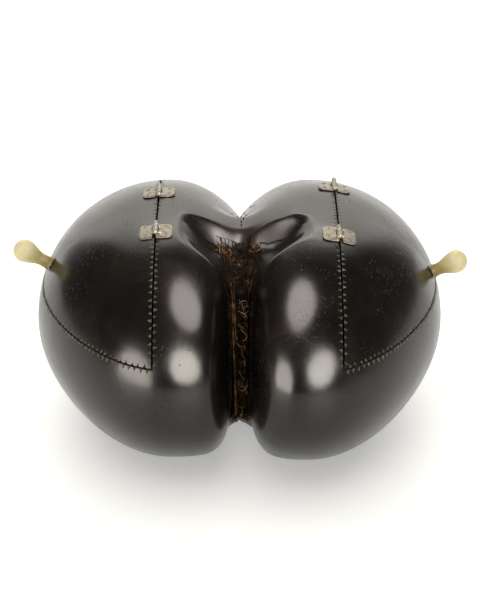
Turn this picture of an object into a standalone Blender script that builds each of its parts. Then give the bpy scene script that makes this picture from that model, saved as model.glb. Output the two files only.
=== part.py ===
"""Coco de mer nut made into a box with two hinged lids, lying on its lobes.

Metres, +Z up. The nut's own frame has its origin in the middle of its thickness, between the lobes.
The cleft between the lobes opens towards -Y, and the left lobe is the one towards -X.
The part's origin is at the middle of its bounding box, on the surface that it rests on.
"""
import math

import bmesh
import bpy
import numpy as np
from mathutils import Matrix, Vector
from mathutils.bvhtree import BVHTree

# The nut's centre in the part's frame: half the thickness less the flats that it rests on
NUT_CENTRE = Vector((-0.00075, -0.0047, 0.0820))

# Each lobe is half an egg on either side of its crest line
CREST_X = 0.052
CREST_DRIFT = 0.006
OUTER_HALF = 0.094
OUTER_TAPER = 0.020
OUTER_SWELL = 0.010
INNER_HALF = 0.074
THICK_ABOVE = 0.086
THICK_BELOW = 0.083
LENGTH_FRONT = 0.146
LENGTH_BACK = 0.146
LONGER_LOBE = 0.003
MIDDLE_Y = 0.006
END_POWER = 2.1

# The cleft between the lobes' tips, a slot with a round floor that leans back as it rises
CLEFT_HALF = 0.0062
CLEFT_X = 0.0008
CLEFT_FLOOR_LOW = -0.047
CLEFT_FLOOR_HIGH = -0.042
CLEFT_LOW_Z = -0.072
CLEFT_HIGH_Z = 0.055
LIP_BLEND = 0.019

# The hollow above the cleft, with an arm that runs out along each lobe
HOLLOW_DEPTH = 0.0150
HOLLOW_ARM = {-1: 0.046, 1: 0.054}
HOLLOW_FADE = 0.032
HOLLOW_FRONT = -0.068
RIM_DIP = -0.005
MIDDLE_SHALLOW = 0.50
MIDDLE_SPREAD = 0.015
FOLD_HEIGHT = 0.0011
SADDLE_ROUND = 0.010
UNDER_HOLLOW = 0.006

# The beds that are pared flat for the hinges
BED_DEPTH = 0.0024
BED_LENGTH = 0.040
BED_Y = 0.004

# The box: its wall, and the saw cuts that free the two lids
WALL = 0.007
SAW_GAP = 0.0013
CUT_Z = 0.0255
CUT_X = {-1: -0.058, 1: 0.069}
HINGE_AXIS_Z = {-1: 0.0856, 1: 0.0836}
HINGE_YS = {-1: (-0.0320, 0.0360), 1: (-0.0346, 0.0517)}
SIDE_NAMES = {-1: "left", 1: "right"}
HINGE_NAMES = ("front", "rear")
FLAT_DEPTH = 0.001
BLOCK_REACH = 0.2

# Butt hinges: three knuckles on a pin, and a nailed leaf on either side
LEAF_REACH = 0.0115
LEAF_HALF_LENGTH = 0.009
LEAF_CLIP = 0.0028
LEAF_THICK = 0.0010
LEAF_INNER = 0.0005
LEAF_NOTCH = 0.0023
LEAF_BEND = 0.0040
SEAT_GAP = 0.0004
KNUCKLE_R = 0.0017
KNUCKLE_BORE_R = 0.00110
KNUCKLE_WEB = 0.0009
KNUCKLE_SPLIT = 0.0030
KNUCKLE_GAP = 0.0008
KNUCKLE_PROUD = 0.0002
PIN_R = 0.00075
PIN_HEAD_R = 0.0013
PIN_HEAD_LENGTH = 0.0006
PIN_SIDES = 10

NAIL_U = 0.0075
NAIL_V = 0.0052
NAIL_R = 0.00055
NAIL_HOLE_R = 0.00090
NAIL_HEAD_R = 0.00125
NAIL_HEAD_HEIGHT = 0.0007
NAIL_LENGTH = 0.0062
NAIL_HOLE_SPARE = 0.0005
NAIL_CLEARANCE = 0.0003
NAIL_SIDES = 6

# Turned knobs, each on a tenon through its lid
KNOB_Y = {-1: 0.014, 1: 0.013}
KNOB_Z = {-1: 0.037, 1: 0.0315}
KNOB_REACH = {-1: 0.0210, 1: 0.0185}
KNOB_BALL_R = 0.0083
KNOB_NECK_R = 0.0041
KNOB_FOOT_R = 0.0062
KNOB_FOOT_FADE = 0.0022
KNOB_BLEND = 0.0075
KNOB_SEAT = 0.0005
TENON_R = 0.0030
TENON_LENGTH = 0.0066
TENON_CLEARANCE = 0.0003
KNOB_SIDES = 16
KNOB_RINGS = 12

# The fibre mat: it starts in the hollow, turns over its front edge and runs down the cleft's floor
MAT_SPINE_Y = -0.010
MAT_TURN_START = math.radians(94.0)
MAT_TURN_STEPS = 12
MAT_DROP = 0.066
MAT_DROP_STEPS = 8
MAT_COLUMNS = 9
MAT_LEAST_HALF = 0.0028
MAT_MOST_HALF = 0.0165
MAT_WIDTH_STEP = 0.0003
MAT_GAP = 0.0006
MAT_THICK = 0.0036
MAT_THICK_HIGH = 0.0060
MAT_THICK_FROM = 0.30
MAT_THICK_FADE = 0.28
MAT_EDGE = 0.0006
MAT_RIDGE = 0.0012
MAT_FEEL_TURN = math.radians(4.0)
MAT_FEEL_STEP = 0.0013
STRANDS = 36
LONG_STRANDS = 5
STRAND_R = 0.0009
STRAND_TIP_R = 0.00025
STRAND_SIDES = 3
STRAND_STEPS = 6
STRAND_LIFT = 0.0065
STRAND_SINK = 0.3
STRAND_SEED = 7

# Rays round each lobe and rings along it: more of both where the hollow and the cleft are
OUTER_RAYS = 52
OUTER_RINGS = 25
CAVITY_RAYS = 24
CAVITY_RINGS = 12
LOBE_EYE = (0.058, 0.014, 0.0)
DENSE_ANGLE = math.radians(150.0)
DENSE_SHARE = 0.40
DENSE_SEAM = 0.50

SHELL_COLOUR = (0.020, 0.014, 0.011)
FIBRE_COLOUR = (0.120, 0.055, 0.024)
HINGE_COLOUR = (0.350, 0.310, 0.250)
BONE_COLOUR = (0.760, 0.640, 0.400)


def smoothstep(t):
    t = np.clip(t, 0.0, 1.0)
    return t * t * (3.0 - 2.0 * t)


def smooth_max(a, b, blend):
    share = np.clip(0.5 + 0.5 * (a - b) / blend, 0.0, 1.0)
    return b + (a - b) * share + blend * share * (1.0 - share)


def hollow_depth(across, y, side):
    """Depth of the hollow at a distance across from the middle, on the lobe of that side."""
    arm = np.where(side > 0, HOLLOW_ARM[1], HOLLOW_ARM[-1])
    arm_fade = 1.0 - smoothstep((across - arm + HOLLOW_FADE) / HOLLOW_FADE)
    right = np.where(side > 0, 0.005, 0.0) * smoothstep(across / 0.012) * arm_fade
    rim = RIM_DIP * np.exp(-(across / 0.012) ** 2) - 0.001 - 0.10 * across - right
    back_wall = smoothstep((rim + 0.003 - y) / 0.0130)
    front_slope = smoothstep((y - HOLLOW_FRONT - 0.55 * across) / 0.020)
    fold_line = rim - 0.013 + 0.12 * across
    fold = FOLD_HEIGHT * np.exp(-((y - fold_line) / 0.0025) ** 2) * smoothstep((across - 0.018) / 0.008)
    shallow = 1.0 - MIDDLE_SHALLOW * np.exp(-(across / MIDDLE_SPREAD) ** 2)
    return (HOLLOW_DEPTH * shallow + fold) * arm_fade * back_wall * front_slope


def hinge_bed(across, y):
    """Depth pared off the crest of each lobe, so that two hinges can share one straight axis."""
    return BED_DEPTH * np.exp(-((y - BED_Y) / BED_LENGTH) ** 2) * smoothstep((across - 0.036) / 0.016)


def nut_field(x, y, z):
    """Rough signed distance to the nut's outside, negative inside, in the nut's own frame."""
    across = np.abs(x)
    side = np.where(x > 0, 1, -1)
    away = smoothstep(across / 0.040)
    pared = hollow_depth(across, y, side) + hinge_bed(across, y)
    height = z + pared * smoothstep((z - 0.010) / 0.035)
    along = y - MIDDLE_Y
    front_length = LENGTH_FRONT + side * LONGER_LOBE * away
    length = np.where(along < 0, front_length, LENGTH_BACK)
    forward = np.clip(-along / LENGTH_FRONT, 0.0, 1.0)
    backward = np.clip(along / LENGTH_BACK, 0.0, 1.0)
    crest = CREST_X - CREST_DRIFT * forward ** 2
    outer = OUTER_HALF - OUTER_TAPER * forward ** 1.3 + OUTER_SWELL * backward * (1.0 - backward)
    bridge = smoothstep((y + 0.014) / 0.016) * (1.0 - smoothstep((y - 0.020) / 0.020))
    bridge = SADDLE_ROUND * bridge * smoothstep((z - 0.020) / 0.030) * (1.0 - smoothstep(across / 0.040))
    from_crest = np.sqrt(across ** 2 + bridge ** 2) - crest
    low = smoothstep(-height / 0.040)
    half_width = np.where(from_crest > 0, outer, INNER_HALF)
    half_thick = np.where(height > 0, THICK_ABOVE, THICK_BELOW)
    power = np.where(from_crest > 0, 2.0 - 0.10 * low, 2.0 + 0.9 * low)
    wide = np.abs(from_crest) / half_width
    tall = np.abs(height) / half_thick
    section = (wide ** power + tall ** power + 1e-12) ** (1.0 / power)
    egg = (section ** END_POWER + np.abs(along / length) ** END_POWER + 1e-12) ** (1.0 / END_POWER)
    slope = np.sqrt((from_crest / half_width ** 2) ** 2
                    + (along / length ** 2) ** 2
                    + (height / half_thick ** 2) ** 2) + 1e-6
    lobe = egg * (egg - 1.0) / slope
    rise = smoothstep((z - CLEFT_LOW_Z) / (CLEFT_HIGH_Z - CLEFT_LOW_Z))
    floor_y = CLEFT_FLOOR_LOW + (CLEFT_FLOOR_HIGH - CLEFT_FLOOR_LOW) * rise
    slot = np.sqrt((x - CLEFT_X) ** 2 + np.maximum(0.0, y - floor_y) ** 2) - CLEFT_HALF
    return smooth_max(lobe, -slot, LIP_BLEND)


def cavity_field(x, y, z):
    """The same for the inside: a wall in from the outside, and further in under the hollow."""
    side = np.where(x > 0, 1, -1)
    under = smoothstep(hollow_depth(np.abs(x), y, side) / 0.004) * smoothstep((z - 0.010) / 0.035)
    return nut_field(x, y, z) + WALL + UNDER_HOLLOW * under


def surface_height(x, y):
    """Height of the nut's upper face over a point, by halving the distance to it."""
    low = 0.0
    high = 0.12
    for _ in range(30):
        middle = 0.5 * (low + high)
        if nut_field(np.float64(x), np.float64(y), np.float64(middle)) < 0.0:
            low = middle
        else:
            high = middle
    return low


def surface_side(side, y, z):
    """Point on the outer side of one lobe, and the direction square to the shell there."""
    low = CREST_X
    high = 0.2
    for _ in range(30):
        middle = 0.5 * (low + high)
        if nut_field(np.float64(side * middle), np.float64(y), np.float64(z)) < 0.0:
            low = middle
        else:
            high = middle
    point = np.array((side * low, y, z))
    step = 0.0002
    slope = []
    for axis in np.eye(3):
        ahead = nut_field(*(point + step * axis))
        behind = nut_field(*(point - step * axis))
        slope.append(float(ahead - behind))
    return Vector(point), Vector(slope).normalized()


def ray_lengths(side, field, theta, phi):
    """Distance from a lobe's inner point to the surface, clipped at the middle plane."""
    step_x = np.cos(theta)
    step_y = np.sin(theta) * np.cos(phi)
    step_z = np.sin(theta) * np.sin(phi)
    low = np.zeros_like(theta)
    high = np.full_like(theta, 0.22)
    for _ in range(34):
        middle = 0.5 * (low + high)
        x = LOBE_EYE[0] + middle * step_x
        value = field(side * x, LOBE_EYE[1] + middle * step_y, LOBE_EYE[2] + middle * step_z)
        inside = (value < 0.0) & (x > 0)
        low = np.where(inside, middle, low)
        high = np.where(inside, high, middle)
    length = 0.5 * (low + high)
    points = np.stack((LOBE_EYE[0] + length * step_x,
                       LOBE_EYE[1] + length * step_y,
                       LOBE_EYE[2] + length * step_z), axis=-1)
    return points


def lobe_rings(side, field, rays, rings):
    """Rings of points from a lobe's outer pole to the middle plane, evenly spread along the surface."""
    turn = np.linspace(0.0, 2.0 * np.pi, rays, endpoint=False)
    phi = turn - DENSE_SHARE * np.sin(turn - DENSE_ANGLE)
    low = np.full(rays, np.pi / 2)
    high = np.full(rays, np.pi * 0.999)
    for _ in range(30):
        middle = 0.5 * (low + high)
        reached = ray_lengths(side, field, middle, phi)[..., 0] > 1e-6
        low = np.where(reached, middle, low)
        high = np.where(reached, high, middle)
    fine = np.linspace(0.0, 1.0, 240)[:, None] * low[None, :]
    spread = np.broadcast_to(phi, fine.shape)
    points = ray_lengths(side, field, fine, spread)
    stretch = np.linalg.norm(np.diff(points, axis=0), axis=-1)
    arc = np.vstack((np.zeros(rays), np.cumsum(stretch, axis=0)))
    arc = arc / arc[-1]
    share = np.linspace(0.0, 1.0, rings)
    share = share * (1.0 + DENSE_SEAM) - DENSE_SEAM * share ** 2
    columns = [np.interp(share, arc[:, ray], fine[:, ray]) for ray in range(rays)]
    theta = np.stack(columns, axis=1)
    points = ray_lengths(side, field, theta, np.broadcast_to(phi, theta.shape))
    points[-1, :, 0] = 0.0
    return points * np.array((side, 1.0, 1.0))


def nut_mesh(name, field, rays, rings):
    """Both lobes as one closed mesh, joined along their shared ring in the middle plane."""
    left = lobe_rings(-1, field, rays, rings)
    right = lobe_rings(1, field, rays, rings)
    seam = 0.5 * (left[-1] + right[-1])
    vertices = [tuple(point) for point in seam]
    faces = []
    for side, lobe in ((-1, left), (1, right)):
        pole = len(vertices)
        vertices.append(tuple(lobe[0, 0]))
        first = len(vertices)
        vertices.extend(tuple(point) for point in lobe[1:-1].reshape(-1, 3))
        for ray in range(rays):
            after = (ray + 1) % rays
            ring_faces = [(pole, first + ray, first + after)]
            for ring in range(rings - 3):
                here = first + ring * rays
                there = here + rays
                ring_faces.append((here + ray, there + ray, there + after, here + after))
            last = first + (rings - 3) * rays
            ring_faces.append((last + ray, ray, after, last + after))
            if side < 0:
                ring_faces = [face[::-1] for face in ring_faces]
            faces.extend(ring_faces)
    mesh = bpy.data.meshes.new(name)
    mesh.from_pydata(vertices, [], faces)
    return mesh


def box_mesh(name, low, high):
    mesh = bpy.data.meshes.new(name)
    shape = bmesh.new()
    middle = (Vector(low) + Vector(high)) / 2
    size = Vector(high) - Vector(low)
    place = Matrix.Translation(middle) @ Matrix.Diagonal((size.x, size.y, size.z, 1.0))
    bmesh.ops.create_cube(shape, size=1.0, matrix=place)
    shape.to_mesh(mesh)
    shape.free()
    return mesh


def turned_mesh(name, profile, sides, place):
    """Solid of revolution about its own Z: profile runs from the bottom tip to the top tip."""
    mesh = bpy.data.meshes.new(name)
    shape = bmesh.new()
    rings = []
    for height, radius in profile:
        if radius <= 0.0:
            rings.append([shape.verts.new((0.0, 0.0, height))])
            continue
        ring = []
        for index in range(sides):
            angle = 2.0 * math.pi * index / sides
            ring.append(shape.verts.new((radius * math.cos(angle), radius * math.sin(angle), height)))
        rings.append(ring)
    for lower, upper in zip(rings, rings[1:]):
        for index in range(sides):
            after = (index + 1) % sides
            corners = [lower[index % len(lower)], lower[after % len(lower)],
                       upper[after % len(upper)], upper[index % len(upper)]]
            corners = list(dict.fromkeys(corners))
            shape.faces.new(corners)
    bmesh.ops.transform(shape, matrix=place, verts=shape.verts)
    shape.to_mesh(mesh)
    shape.free()
    return mesh


def joined_mesh(name, meshes):
    """Several closed meshes that stay apart, in one mesh."""
    shape = bmesh.new()
    for mesh in meshes:
        shape.from_mesh(mesh)
        bpy.data.meshes.remove(mesh)
    mesh = bpy.data.meshes.new(name)
    shape.to_mesh(mesh)
    shape.free()
    return mesh


def make_material(name, colour, roughness, metallic):
    material = bpy.data.materials.new(name)
    material.use_nodes = True
    shader = material.node_tree.nodes["Principled BSDF"]
    shader.inputs["Base Color"].default_value = (*colour, 1.0)
    shader.inputs["Roughness"].default_value = roughness
    shader.inputs["Metallic"].default_value = metallic
    return material


def add_empty(name, location, parent):
    empty = bpy.data.objects.new(name, None)
    bpy.context.scene.collection.objects.link(empty)
    empty.parent = parent
    empty.location = location
    return empty


def add_piece(name, mesh, material, parent, smooth_angle=40.0):
    """Link a mesh given in the nut's frame, with its origin moved to the empty that carries it."""
    if parent.parent:
        mesh.transform(Matrix.Translation(-parent.location))
    mesh.materials.append(material)
    mesh.shade_smooth()
    mesh.set_sharp_from_angle(angle=math.radians(smooth_angle))
    piece = bpy.data.objects.new(name, mesh)
    bpy.context.scene.collection.objects.link(piece)
    piece.parent = parent
    return piece


def add_cutter(name, mesh, parent):
    cutter = bpy.data.objects.new(name, mesh)
    bpy.context.scene.collection.objects.link(cutter)
    cutter.parent = parent
    cutter.hide_render = True
    cutter.display_type = "WIRE"
    return cutter


def cut(piece, operation, cutter, solver="EXACT"):
    boolean = piece.modifiers.new(cutter.name, "BOOLEAN")
    boolean.operation = operation
    boolean.solver = solver
    boolean.object = cutter


def lid_block(side, spare):
    """Corner block over one lid, grown by spare past the saw cut's middle planes."""
    inner_x = CUT_X[side] - side * spare
    outer_x = side * BLOCK_REACH
    low = (min(inner_x, outer_x), -BLOCK_REACH, CUT_Z - spare)
    high = (max(inner_x, outer_x), BLOCK_REACH, BLOCK_REACH)
    return box_mesh("block", low, high)


def nail_places(side, hinge_y, on_lid):
    """Where the two nails of one leaf go down through the leaf into the shell."""
    outward = side if on_lid else -side
    x = CUT_X[side] + outward * NAIL_U
    places = []
    for offset in (-NAIL_V, NAIL_V):
        y = hinge_y + offset
        top = surface_height(x, y) + SEAT_GAP + LEAF_THICK + NAIL_CLEARANCE
        places.append(Vector((x, y, top)))
    return places


def nail_hole_mesh(places):
    depth = NAIL_LENGTH + NAIL_HOLE_SPARE
    profile = [(-depth, 0.0), (-depth, NAIL_HOLE_R), (NAIL_HEAD_R, NAIL_HOLE_R), (NAIL_HEAD_R, 0.0)]
    holes = [turned_mesh("hole", profile, NAIL_SIDES, Matrix.Translation(place)) for place in places]
    return joined_mesh("nail_holes", holes)


def knob_frame(side):
    point, outward = surface_side(side, KNOB_Y[side], KNOB_Z[side])
    turn = outward.to_track_quat("Z", "Y").to_matrix().to_4x4()
    return Matrix.Translation(point) @ turn


def make_knob(side, material, parent):
    """Turned knob: a ball on a waisted neck that flares to a foot, with a tenon into the lid."""
    reach = KNOB_REACH[side]
    profile = [(-TENON_LENGTH, 0.0), (-TENON_LENGTH, TENON_R), (KNOB_SEAT, TENON_R)]
    top = reach + KNOB_BALL_R
    for index in range(KNOB_RINGS):
        share = index / KNOB_RINGS
        height = KNOB_SEAT + (top - KNOB_SEAT) * math.sin(0.5 * math.pi * share)
        ball = math.sqrt(max(0.0, KNOB_BALL_R ** 2 - (height - reach) ** 2))
        neck = KNOB_NECK_R + (KNOB_FOOT_R - KNOB_NECK_R) * math.exp(-(height - KNOB_SEAT) / KNOB_FOOT_FADE)
        radius = ball
        if height < reach:
            radius = float(smooth_max(ball, neck, KNOB_BLEND))
        profile.append((height, radius))
    profile.append((top, 0.0))
    mesh = turned_mesh("knob", profile, KNOB_SIDES, knob_frame(side))
    return add_piece(f"knob_{SIDE_NAMES[side]}", mesh, material, parent, 50.0)


def tube_mesh(cut_x, axis_z, start, end, radius, sides):
    """Round bar along Y, on the hinge axis."""
    length = end - start
    profile = [(0.0, 0.0), (0.0, radius), (length, radius), (length, 0.0)]
    turn = Matrix.Rotation(-math.pi / 2, 4, "X")
    place = Matrix.Translation((cut_x, start, axis_z)) @ turn
    return turned_mesh("tube", profile, sides, place)


def knuckle_spans(on_lid):
    if on_lid:
        return [(-KNUCKLE_SPLIT, KNUCKLE_SPLIT)]
    inner = KNUCKLE_SPLIT + KNUCKLE_GAP
    return [(-LEAF_HALF_LENGTH, -inner), (inner, LEAF_HALF_LENGTH)]


def leaf_plate(side, hinge_y, on_lid):
    """Leaf that follows the shell: a grid of cells with the other leaf's knuckles notched out."""
    outward = side if on_lid else -side
    split = KNUCKLE_SPLIT if on_lid else KNUCKLE_SPLIT + KNUCKLE_GAP
    clip_v = LEAF_HALF_LENGTH - LEAF_CLIP
    reaches = [LEAF_INNER, LEAF_NOTCH, LEAF_BEND, LEAF_REACH - LEAF_CLIP, LEAF_REACH]
    rows = [-LEAF_HALF_LENGTH, -clip_v, -split, split, clip_v, LEAF_HALF_LENGTH]
    spans = knuckle_spans(on_lid)
    web_top = HINGE_AXIS_Z[side] - KNUCKLE_WEB
    shape = bmesh.new()
    grid = {}
    for column, reach in enumerate(reaches):
        for row, offset in enumerate(rows):
            u = reach
            v = offset
            if column == len(reaches) - 1 and row in (0, len(rows) - 1):
                u = reach - LEAF_CLIP / 2
                v = math.copysign(LEAF_HALF_LENGTH - LEAF_CLIP / 2, offset)
            x = CUT_X[side] + outward * u
            y = hinge_y + v
            low = surface_height(x, y) + SEAT_GAP
            high = low + LEAF_THICK
            if column == 0:
                high = max(high, web_top)
            grid[column, row] = (Vector((x, y, low)), Vector((x, y, high)))
    low_verts = {}
    high_verts = {}
    cells = []
    for column in range(len(reaches) - 1):
        for row in range(len(rows) - 1):
            middle = 0.5 * (rows[row] + rows[row + 1])
            held = any(start < middle < end for start, end in spans)
            if column == 0 and not held:
                continue
            cells.append((column, row))
    for cell in cells:
        for corner in ((0, 0), (1, 0), (1, 1), (0, 1)):
            key = (cell[0] + corner[0], cell[1] + corner[1])
            if key not in low_verts:
                low_verts[key] = shape.verts.new(grid[key][0])
                high_verts[key] = shape.verts.new(grid[key][1])
    edges = {}
    for column, row in cells:
        ring = [(column, row), (column + 1, row), (column + 1, row + 1), (column, row + 1)]
        shape.faces.new([high_verts[key] for key in ring])
        shape.faces.new([low_verts[key] for key in reversed(ring)])
        for start, end in zip(ring, ring[1:] + ring[:1]):
            edges[start, end] = edges.get((start, end), 0) + 1
    for start, end in edges:
        if (end, start) not in edges:
            shape.faces.new((high_verts[end], high_verts[start], low_verts[start], low_verts[end]))
    bmesh.ops.triangulate(shape, faces=shape.faces)
    bmesh.ops.recalc_face_normals(shape, faces=shape.faces)
    mesh = bpy.data.meshes.new("leaf")
    shape.to_mesh(mesh)
    shape.free()
    return mesh


def make_leaf(side, hinge, on_lid, material, parent, root, nail_holes):
    """One hinge leaf with its knuckles, bored for the pin and drilled for its nails."""
    hinge_y = HINGE_YS[side][hinge]
    kind = "lid_leaf" if on_lid else "body_leaf"
    name = f"{kind}_{SIDE_NAMES[side]}_{HINGE_NAMES[hinge]}"
    leaf = add_piece(name, leaf_plate(side, hinge_y, on_lid), material, parent, 30.0)
    knuckles = []
    for start, end in knuckle_spans(on_lid):
        low_y = hinge_y + start - KNUCKLE_PROUD
        high_y = hinge_y + end + KNUCKLE_PROUD
        knuckles.append(tube_mesh(CUT_X[side], HINGE_AXIS_Z[side], low_y, high_y, KNUCKLE_R, PIN_SIDES))
    cut(leaf, "UNION", add_cutter(f"{name}_knuckles", joined_mesh("knuckles", knuckles), root))
    bore = tube_mesh(CUT_X[side], HINGE_AXIS_Z[side], hinge_y - 2 * LEAF_HALF_LENGTH,
                     hinge_y + 2 * LEAF_HALF_LENGTH, KNUCKLE_BORE_R, PIN_SIDES)
    cut(leaf, "DIFFERENCE", add_cutter(f"{name}_bore", bore, root))
    cut(leaf, "DIFFERENCE", nail_holes)
    return leaf


def make_pin(side, hinge, material, root):
    hinge_y = HINGE_YS[side][hinge]
    reach = LEAF_HALF_LENGTH + KNUCKLE_PROUD + SEAT_GAP
    profile = [(-reach - PIN_HEAD_LENGTH, 0.0), (-reach - PIN_HEAD_LENGTH, 0.7 * PIN_HEAD_R),
               (-reach - 0.5 * PIN_HEAD_LENGTH, PIN_HEAD_R), (-reach, PIN_HEAD_R), (-reach, PIN_R),
               (reach, PIN_R), (reach, PIN_HEAD_R), (reach + 0.5 * PIN_HEAD_LENGTH, PIN_HEAD_R),
               (reach + PIN_HEAD_LENGTH, 0.7 * PIN_HEAD_R), (reach + PIN_HEAD_LENGTH, 0.0)]
    turn = Matrix.Rotation(-math.pi / 2, 4, "X")
    place = Matrix.Translation((CUT_X[side], hinge_y, HINGE_AXIS_Z[side])) @ turn
    mesh = turned_mesh("pin", profile, PIN_SIDES, place)
    return add_piece(f"pin_{SIDE_NAMES[side]}_{HINGE_NAMES[hinge]}", mesh, material, root)


def make_nails(side, hinge, on_lid, material, parent):
    """Round-headed nails, each with its shank down through the leaf into the shell."""
    kind = "lid_nail" if on_lid else "body_nail"
    head = 0.5 * NAIL_HEAD_HEIGHT
    profile = [(-NAIL_LENGTH, 0.0), (-NAIL_LENGTH + 2 * NAIL_R, NAIL_R), (0.0, NAIL_R), (0.0, NAIL_HEAD_R),
               (head, 0.8 * NAIL_HEAD_R), (NAIL_HEAD_HEIGHT, 0.0)]
    places = nail_places(side, HINGE_YS[side][hinge], on_lid)
    for number, place in enumerate(places, start=1):
        mesh = turned_mesh("nail", profile, NAIL_SIDES, Matrix.Translation(place))
        add_piece(f"{kind}_{SIDE_NAMES[side]}_{HINGE_NAMES[hinge]}_{number}", mesh, material, parent)


def mat_stations():
    """Rays from inside the nut: each row's start height, and the way that the mat faces there."""
    stations = []
    for step in range(MAT_TURN_STEPS):
        angle = MAT_TURN_START * (1.0 - step / (MAT_TURN_STEPS - 1))
        stations.append((0.0, angle))
    for step in range(1, MAT_DROP_STEPS + 1):
        stations.append((-MAT_DROP * step / MAT_DROP_STEPS, 0.0))
    return stations


def mat_frame(station, across):
    """Start point and direction of the ray on which one point of the mat lies."""
    way = Vector((0.0, -math.cos(station[1]), math.sin(station[1])))
    return Vector((CLEFT_X + across, MAT_SPINE_Y, station[0])), way


def shell_reach(tree, station, across):
    """How far the shell reaches along that ray, felt a little to every side so as to clear its ridges."""
    base, way = mat_frame(station, across)
    reach = 0.0
    for turn in (-MAT_FEEL_TURN, 0.0, MAT_FEEL_TURN):
        felt_way = Vector((0.0, -math.cos(station[1] + turn), math.sin(station[1] + turn)))
        for step in (-MAT_FEEL_STEP, 0.0, MAT_FEEL_STEP):
            start = base + Vector((step, 0.0, 0.0)) + 0.2 * felt_way
            hit = tree.ray_cast(start, -felt_way)[0]
            reach = max(reach, (hit - base).dot(way))
    return reach


def mat_section(tree, station, place):
    """Height of the mat's top on one row, and how far it spreads before the shell rises past it."""
    ends = smoothstep(place / 0.10) * smoothstep((1.0 - place) / 0.06)
    high = 1.0 - smoothstep((place - MAT_THICK_FROM) / MAT_THICK_FADE)
    thick = float(ends * (MAT_THICK + (MAT_THICK_HIGH - MAT_THICK) * high))
    top = shell_reach(tree, station, 0.0) + MAT_GAP + MAT_EDGE + thick
    widths = []
    for side in (-1, 1):
        width = MAT_LEAST_HALF
        while width < MAT_MOST_HALF and shell_reach(tree, station, side * width) + MAT_GAP + MAT_EDGE < top:
            width += MAT_WIDTH_STEP
        widths.append(side * width)
    return top, widths[0], widths[1]


def mat_surfaces(tree, stations):
    """Rows of points under and over the mat: the shell below, and a ridged top that fills the valley."""
    rows = len(stations)
    under = []
    over = []
    for row, station in enumerate(stations):
        place = row / (rows - 1)
        top, low_x, high_x = mat_section(tree, station, place)
        for column in range(MAT_COLUMNS):
            share = column / (MAT_COLUMNS - 1)
            across = low_x + (high_x - low_x) * share
            base, way = mat_frame(station, across)
            floor = shell_reach(tree, station, across) + MAT_GAP
            ridge = MAT_RIDGE * math.sin(9.0 * math.pi * share + 3.0 * math.sin(11.0 * place))
            ridge *= 1.0 - abs(2.0 * share - 1.0) ** 3
            under.append(base + floor * way)
            over.append(base + max(top + ridge, floor + MAT_EDGE) * way)
    return under, over


def mat_core(under, over, rows):
    """Closed mat between its two surfaces."""
    count = rows * MAT_COLUMNS
    faces = []
    for row in range(rows - 1):
        for column in range(MAT_COLUMNS - 1):
            corner = row * MAT_COLUMNS + column
            quad = (corner, corner + MAT_COLUMNS, corner + MAT_COLUMNS + 1, corner + 1)
            faces.append(tuple(count + index for index in quad))
            faces.append(quad[::-1])
    rim = [column for column in range(MAT_COLUMNS)]
    rim += [row * MAT_COLUMNS + MAT_COLUMNS - 1 for row in range(1, rows)]
    rim += [(rows - 1) * MAT_COLUMNS + column for column in range(MAT_COLUMNS - 2, -1, -1)]
    rim += [row * MAT_COLUMNS for row in range(rows - 2, 0, -1)]
    for here, there in zip(rim, rim[1:] + rim[:1]):
        faces.append((here, there, count + there, count + here))
    mesh = bpy.data.meshes.new("mat")
    mesh.from_pydata(under + over, [], faces)
    shape = bmesh.new()
    shape.from_mesh(mesh)
    bmesh.ops.triangulate(shape, faces=shape.faces)
    bmesh.ops.recalc_face_normals(shape, faces=shape.faces)
    shape.to_mesh(mesh)
    shape.free()
    return mesh


def strand_mesh(path):
    """Tapered fibre along a path, with a pointed free end."""
    shape = bmesh.new()
    rings = []
    for index, point in enumerate(path[:-1]):
        ahead = (path[index + 1] - path[max(0, index - 1)]).normalized()
        across = ahead.cross(Vector((0.3, 0.2, 0.93))).normalized()
        upward = across.cross(ahead)
        radius = STRAND_R + (STRAND_TIP_R - STRAND_R) * index / (len(path) - 1)
        ring = []
        for side in range(STRAND_SIDES):
            angle = 2.0 * math.pi * side / STRAND_SIDES
            ring.append(shape.verts.new(point + radius * (math.cos(angle) * across + math.sin(angle) * upward)))
        rings.append(ring)
    tip = shape.verts.new(path[-1])
    shape.faces.new(rings[0])
    for lower, upper in zip(rings, rings[1:]):
        for index in range(STRAND_SIDES):
            after = (index + 1) % STRAND_SIDES
            shape.faces.new((lower[index], upper[index], upper[after], lower[after]))
    for index in range(STRAND_SIDES):
        shape.faces.new((rings[-1][index], tip, rings[-1][(index + 1) % STRAND_SIDES]))
    bmesh.ops.recalc_face_normals(shape, faces=shape.faces)
    mesh = bpy.data.meshes.new("strand")
    shape.to_mesh(mesh)
    shape.free()
    return mesh


def over_mat(over, stations, place, across, height):
    """Point at a height above the mat's top, at a place along it and a share across it."""
    position = place * (len(stations) - 1)
    row = min(int(position), len(stations) - 2)
    column = across * (MAT_COLUMNS - 1)
    first = min(int(column), MAT_COLUMNS - 2)
    ends = []
    for line in (row, row + 1):
        corner = line * MAT_COLUMNS + first
        ends.append(over[corner].lerp(over[corner + 1], column - first))
    angle = stations[row][1] + (stations[row + 1][1] - stations[row][1]) * (position - row)
    way = Vector((0.0, -math.cos(angle), math.sin(angle)))
    return ends[0].lerp(ends[1], position - row) + height * way


def strand_path(over, stations, start, length, across, drift, lift):
    """Path over the mat: rooted in it, lying along it, and lifting clear at its free end."""
    path = []
    for step in range(STRAND_STEPS):
        share = step / (STRAND_STEPS - 1)
        place = min(0.97, start + length * share)
        side = min(0.86, max(0.14, across + drift * share))
        path.append(over_mat(over, stations, place, side, lift * share ** 2 - STRAND_SINK * STRAND_R))
    return path


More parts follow.
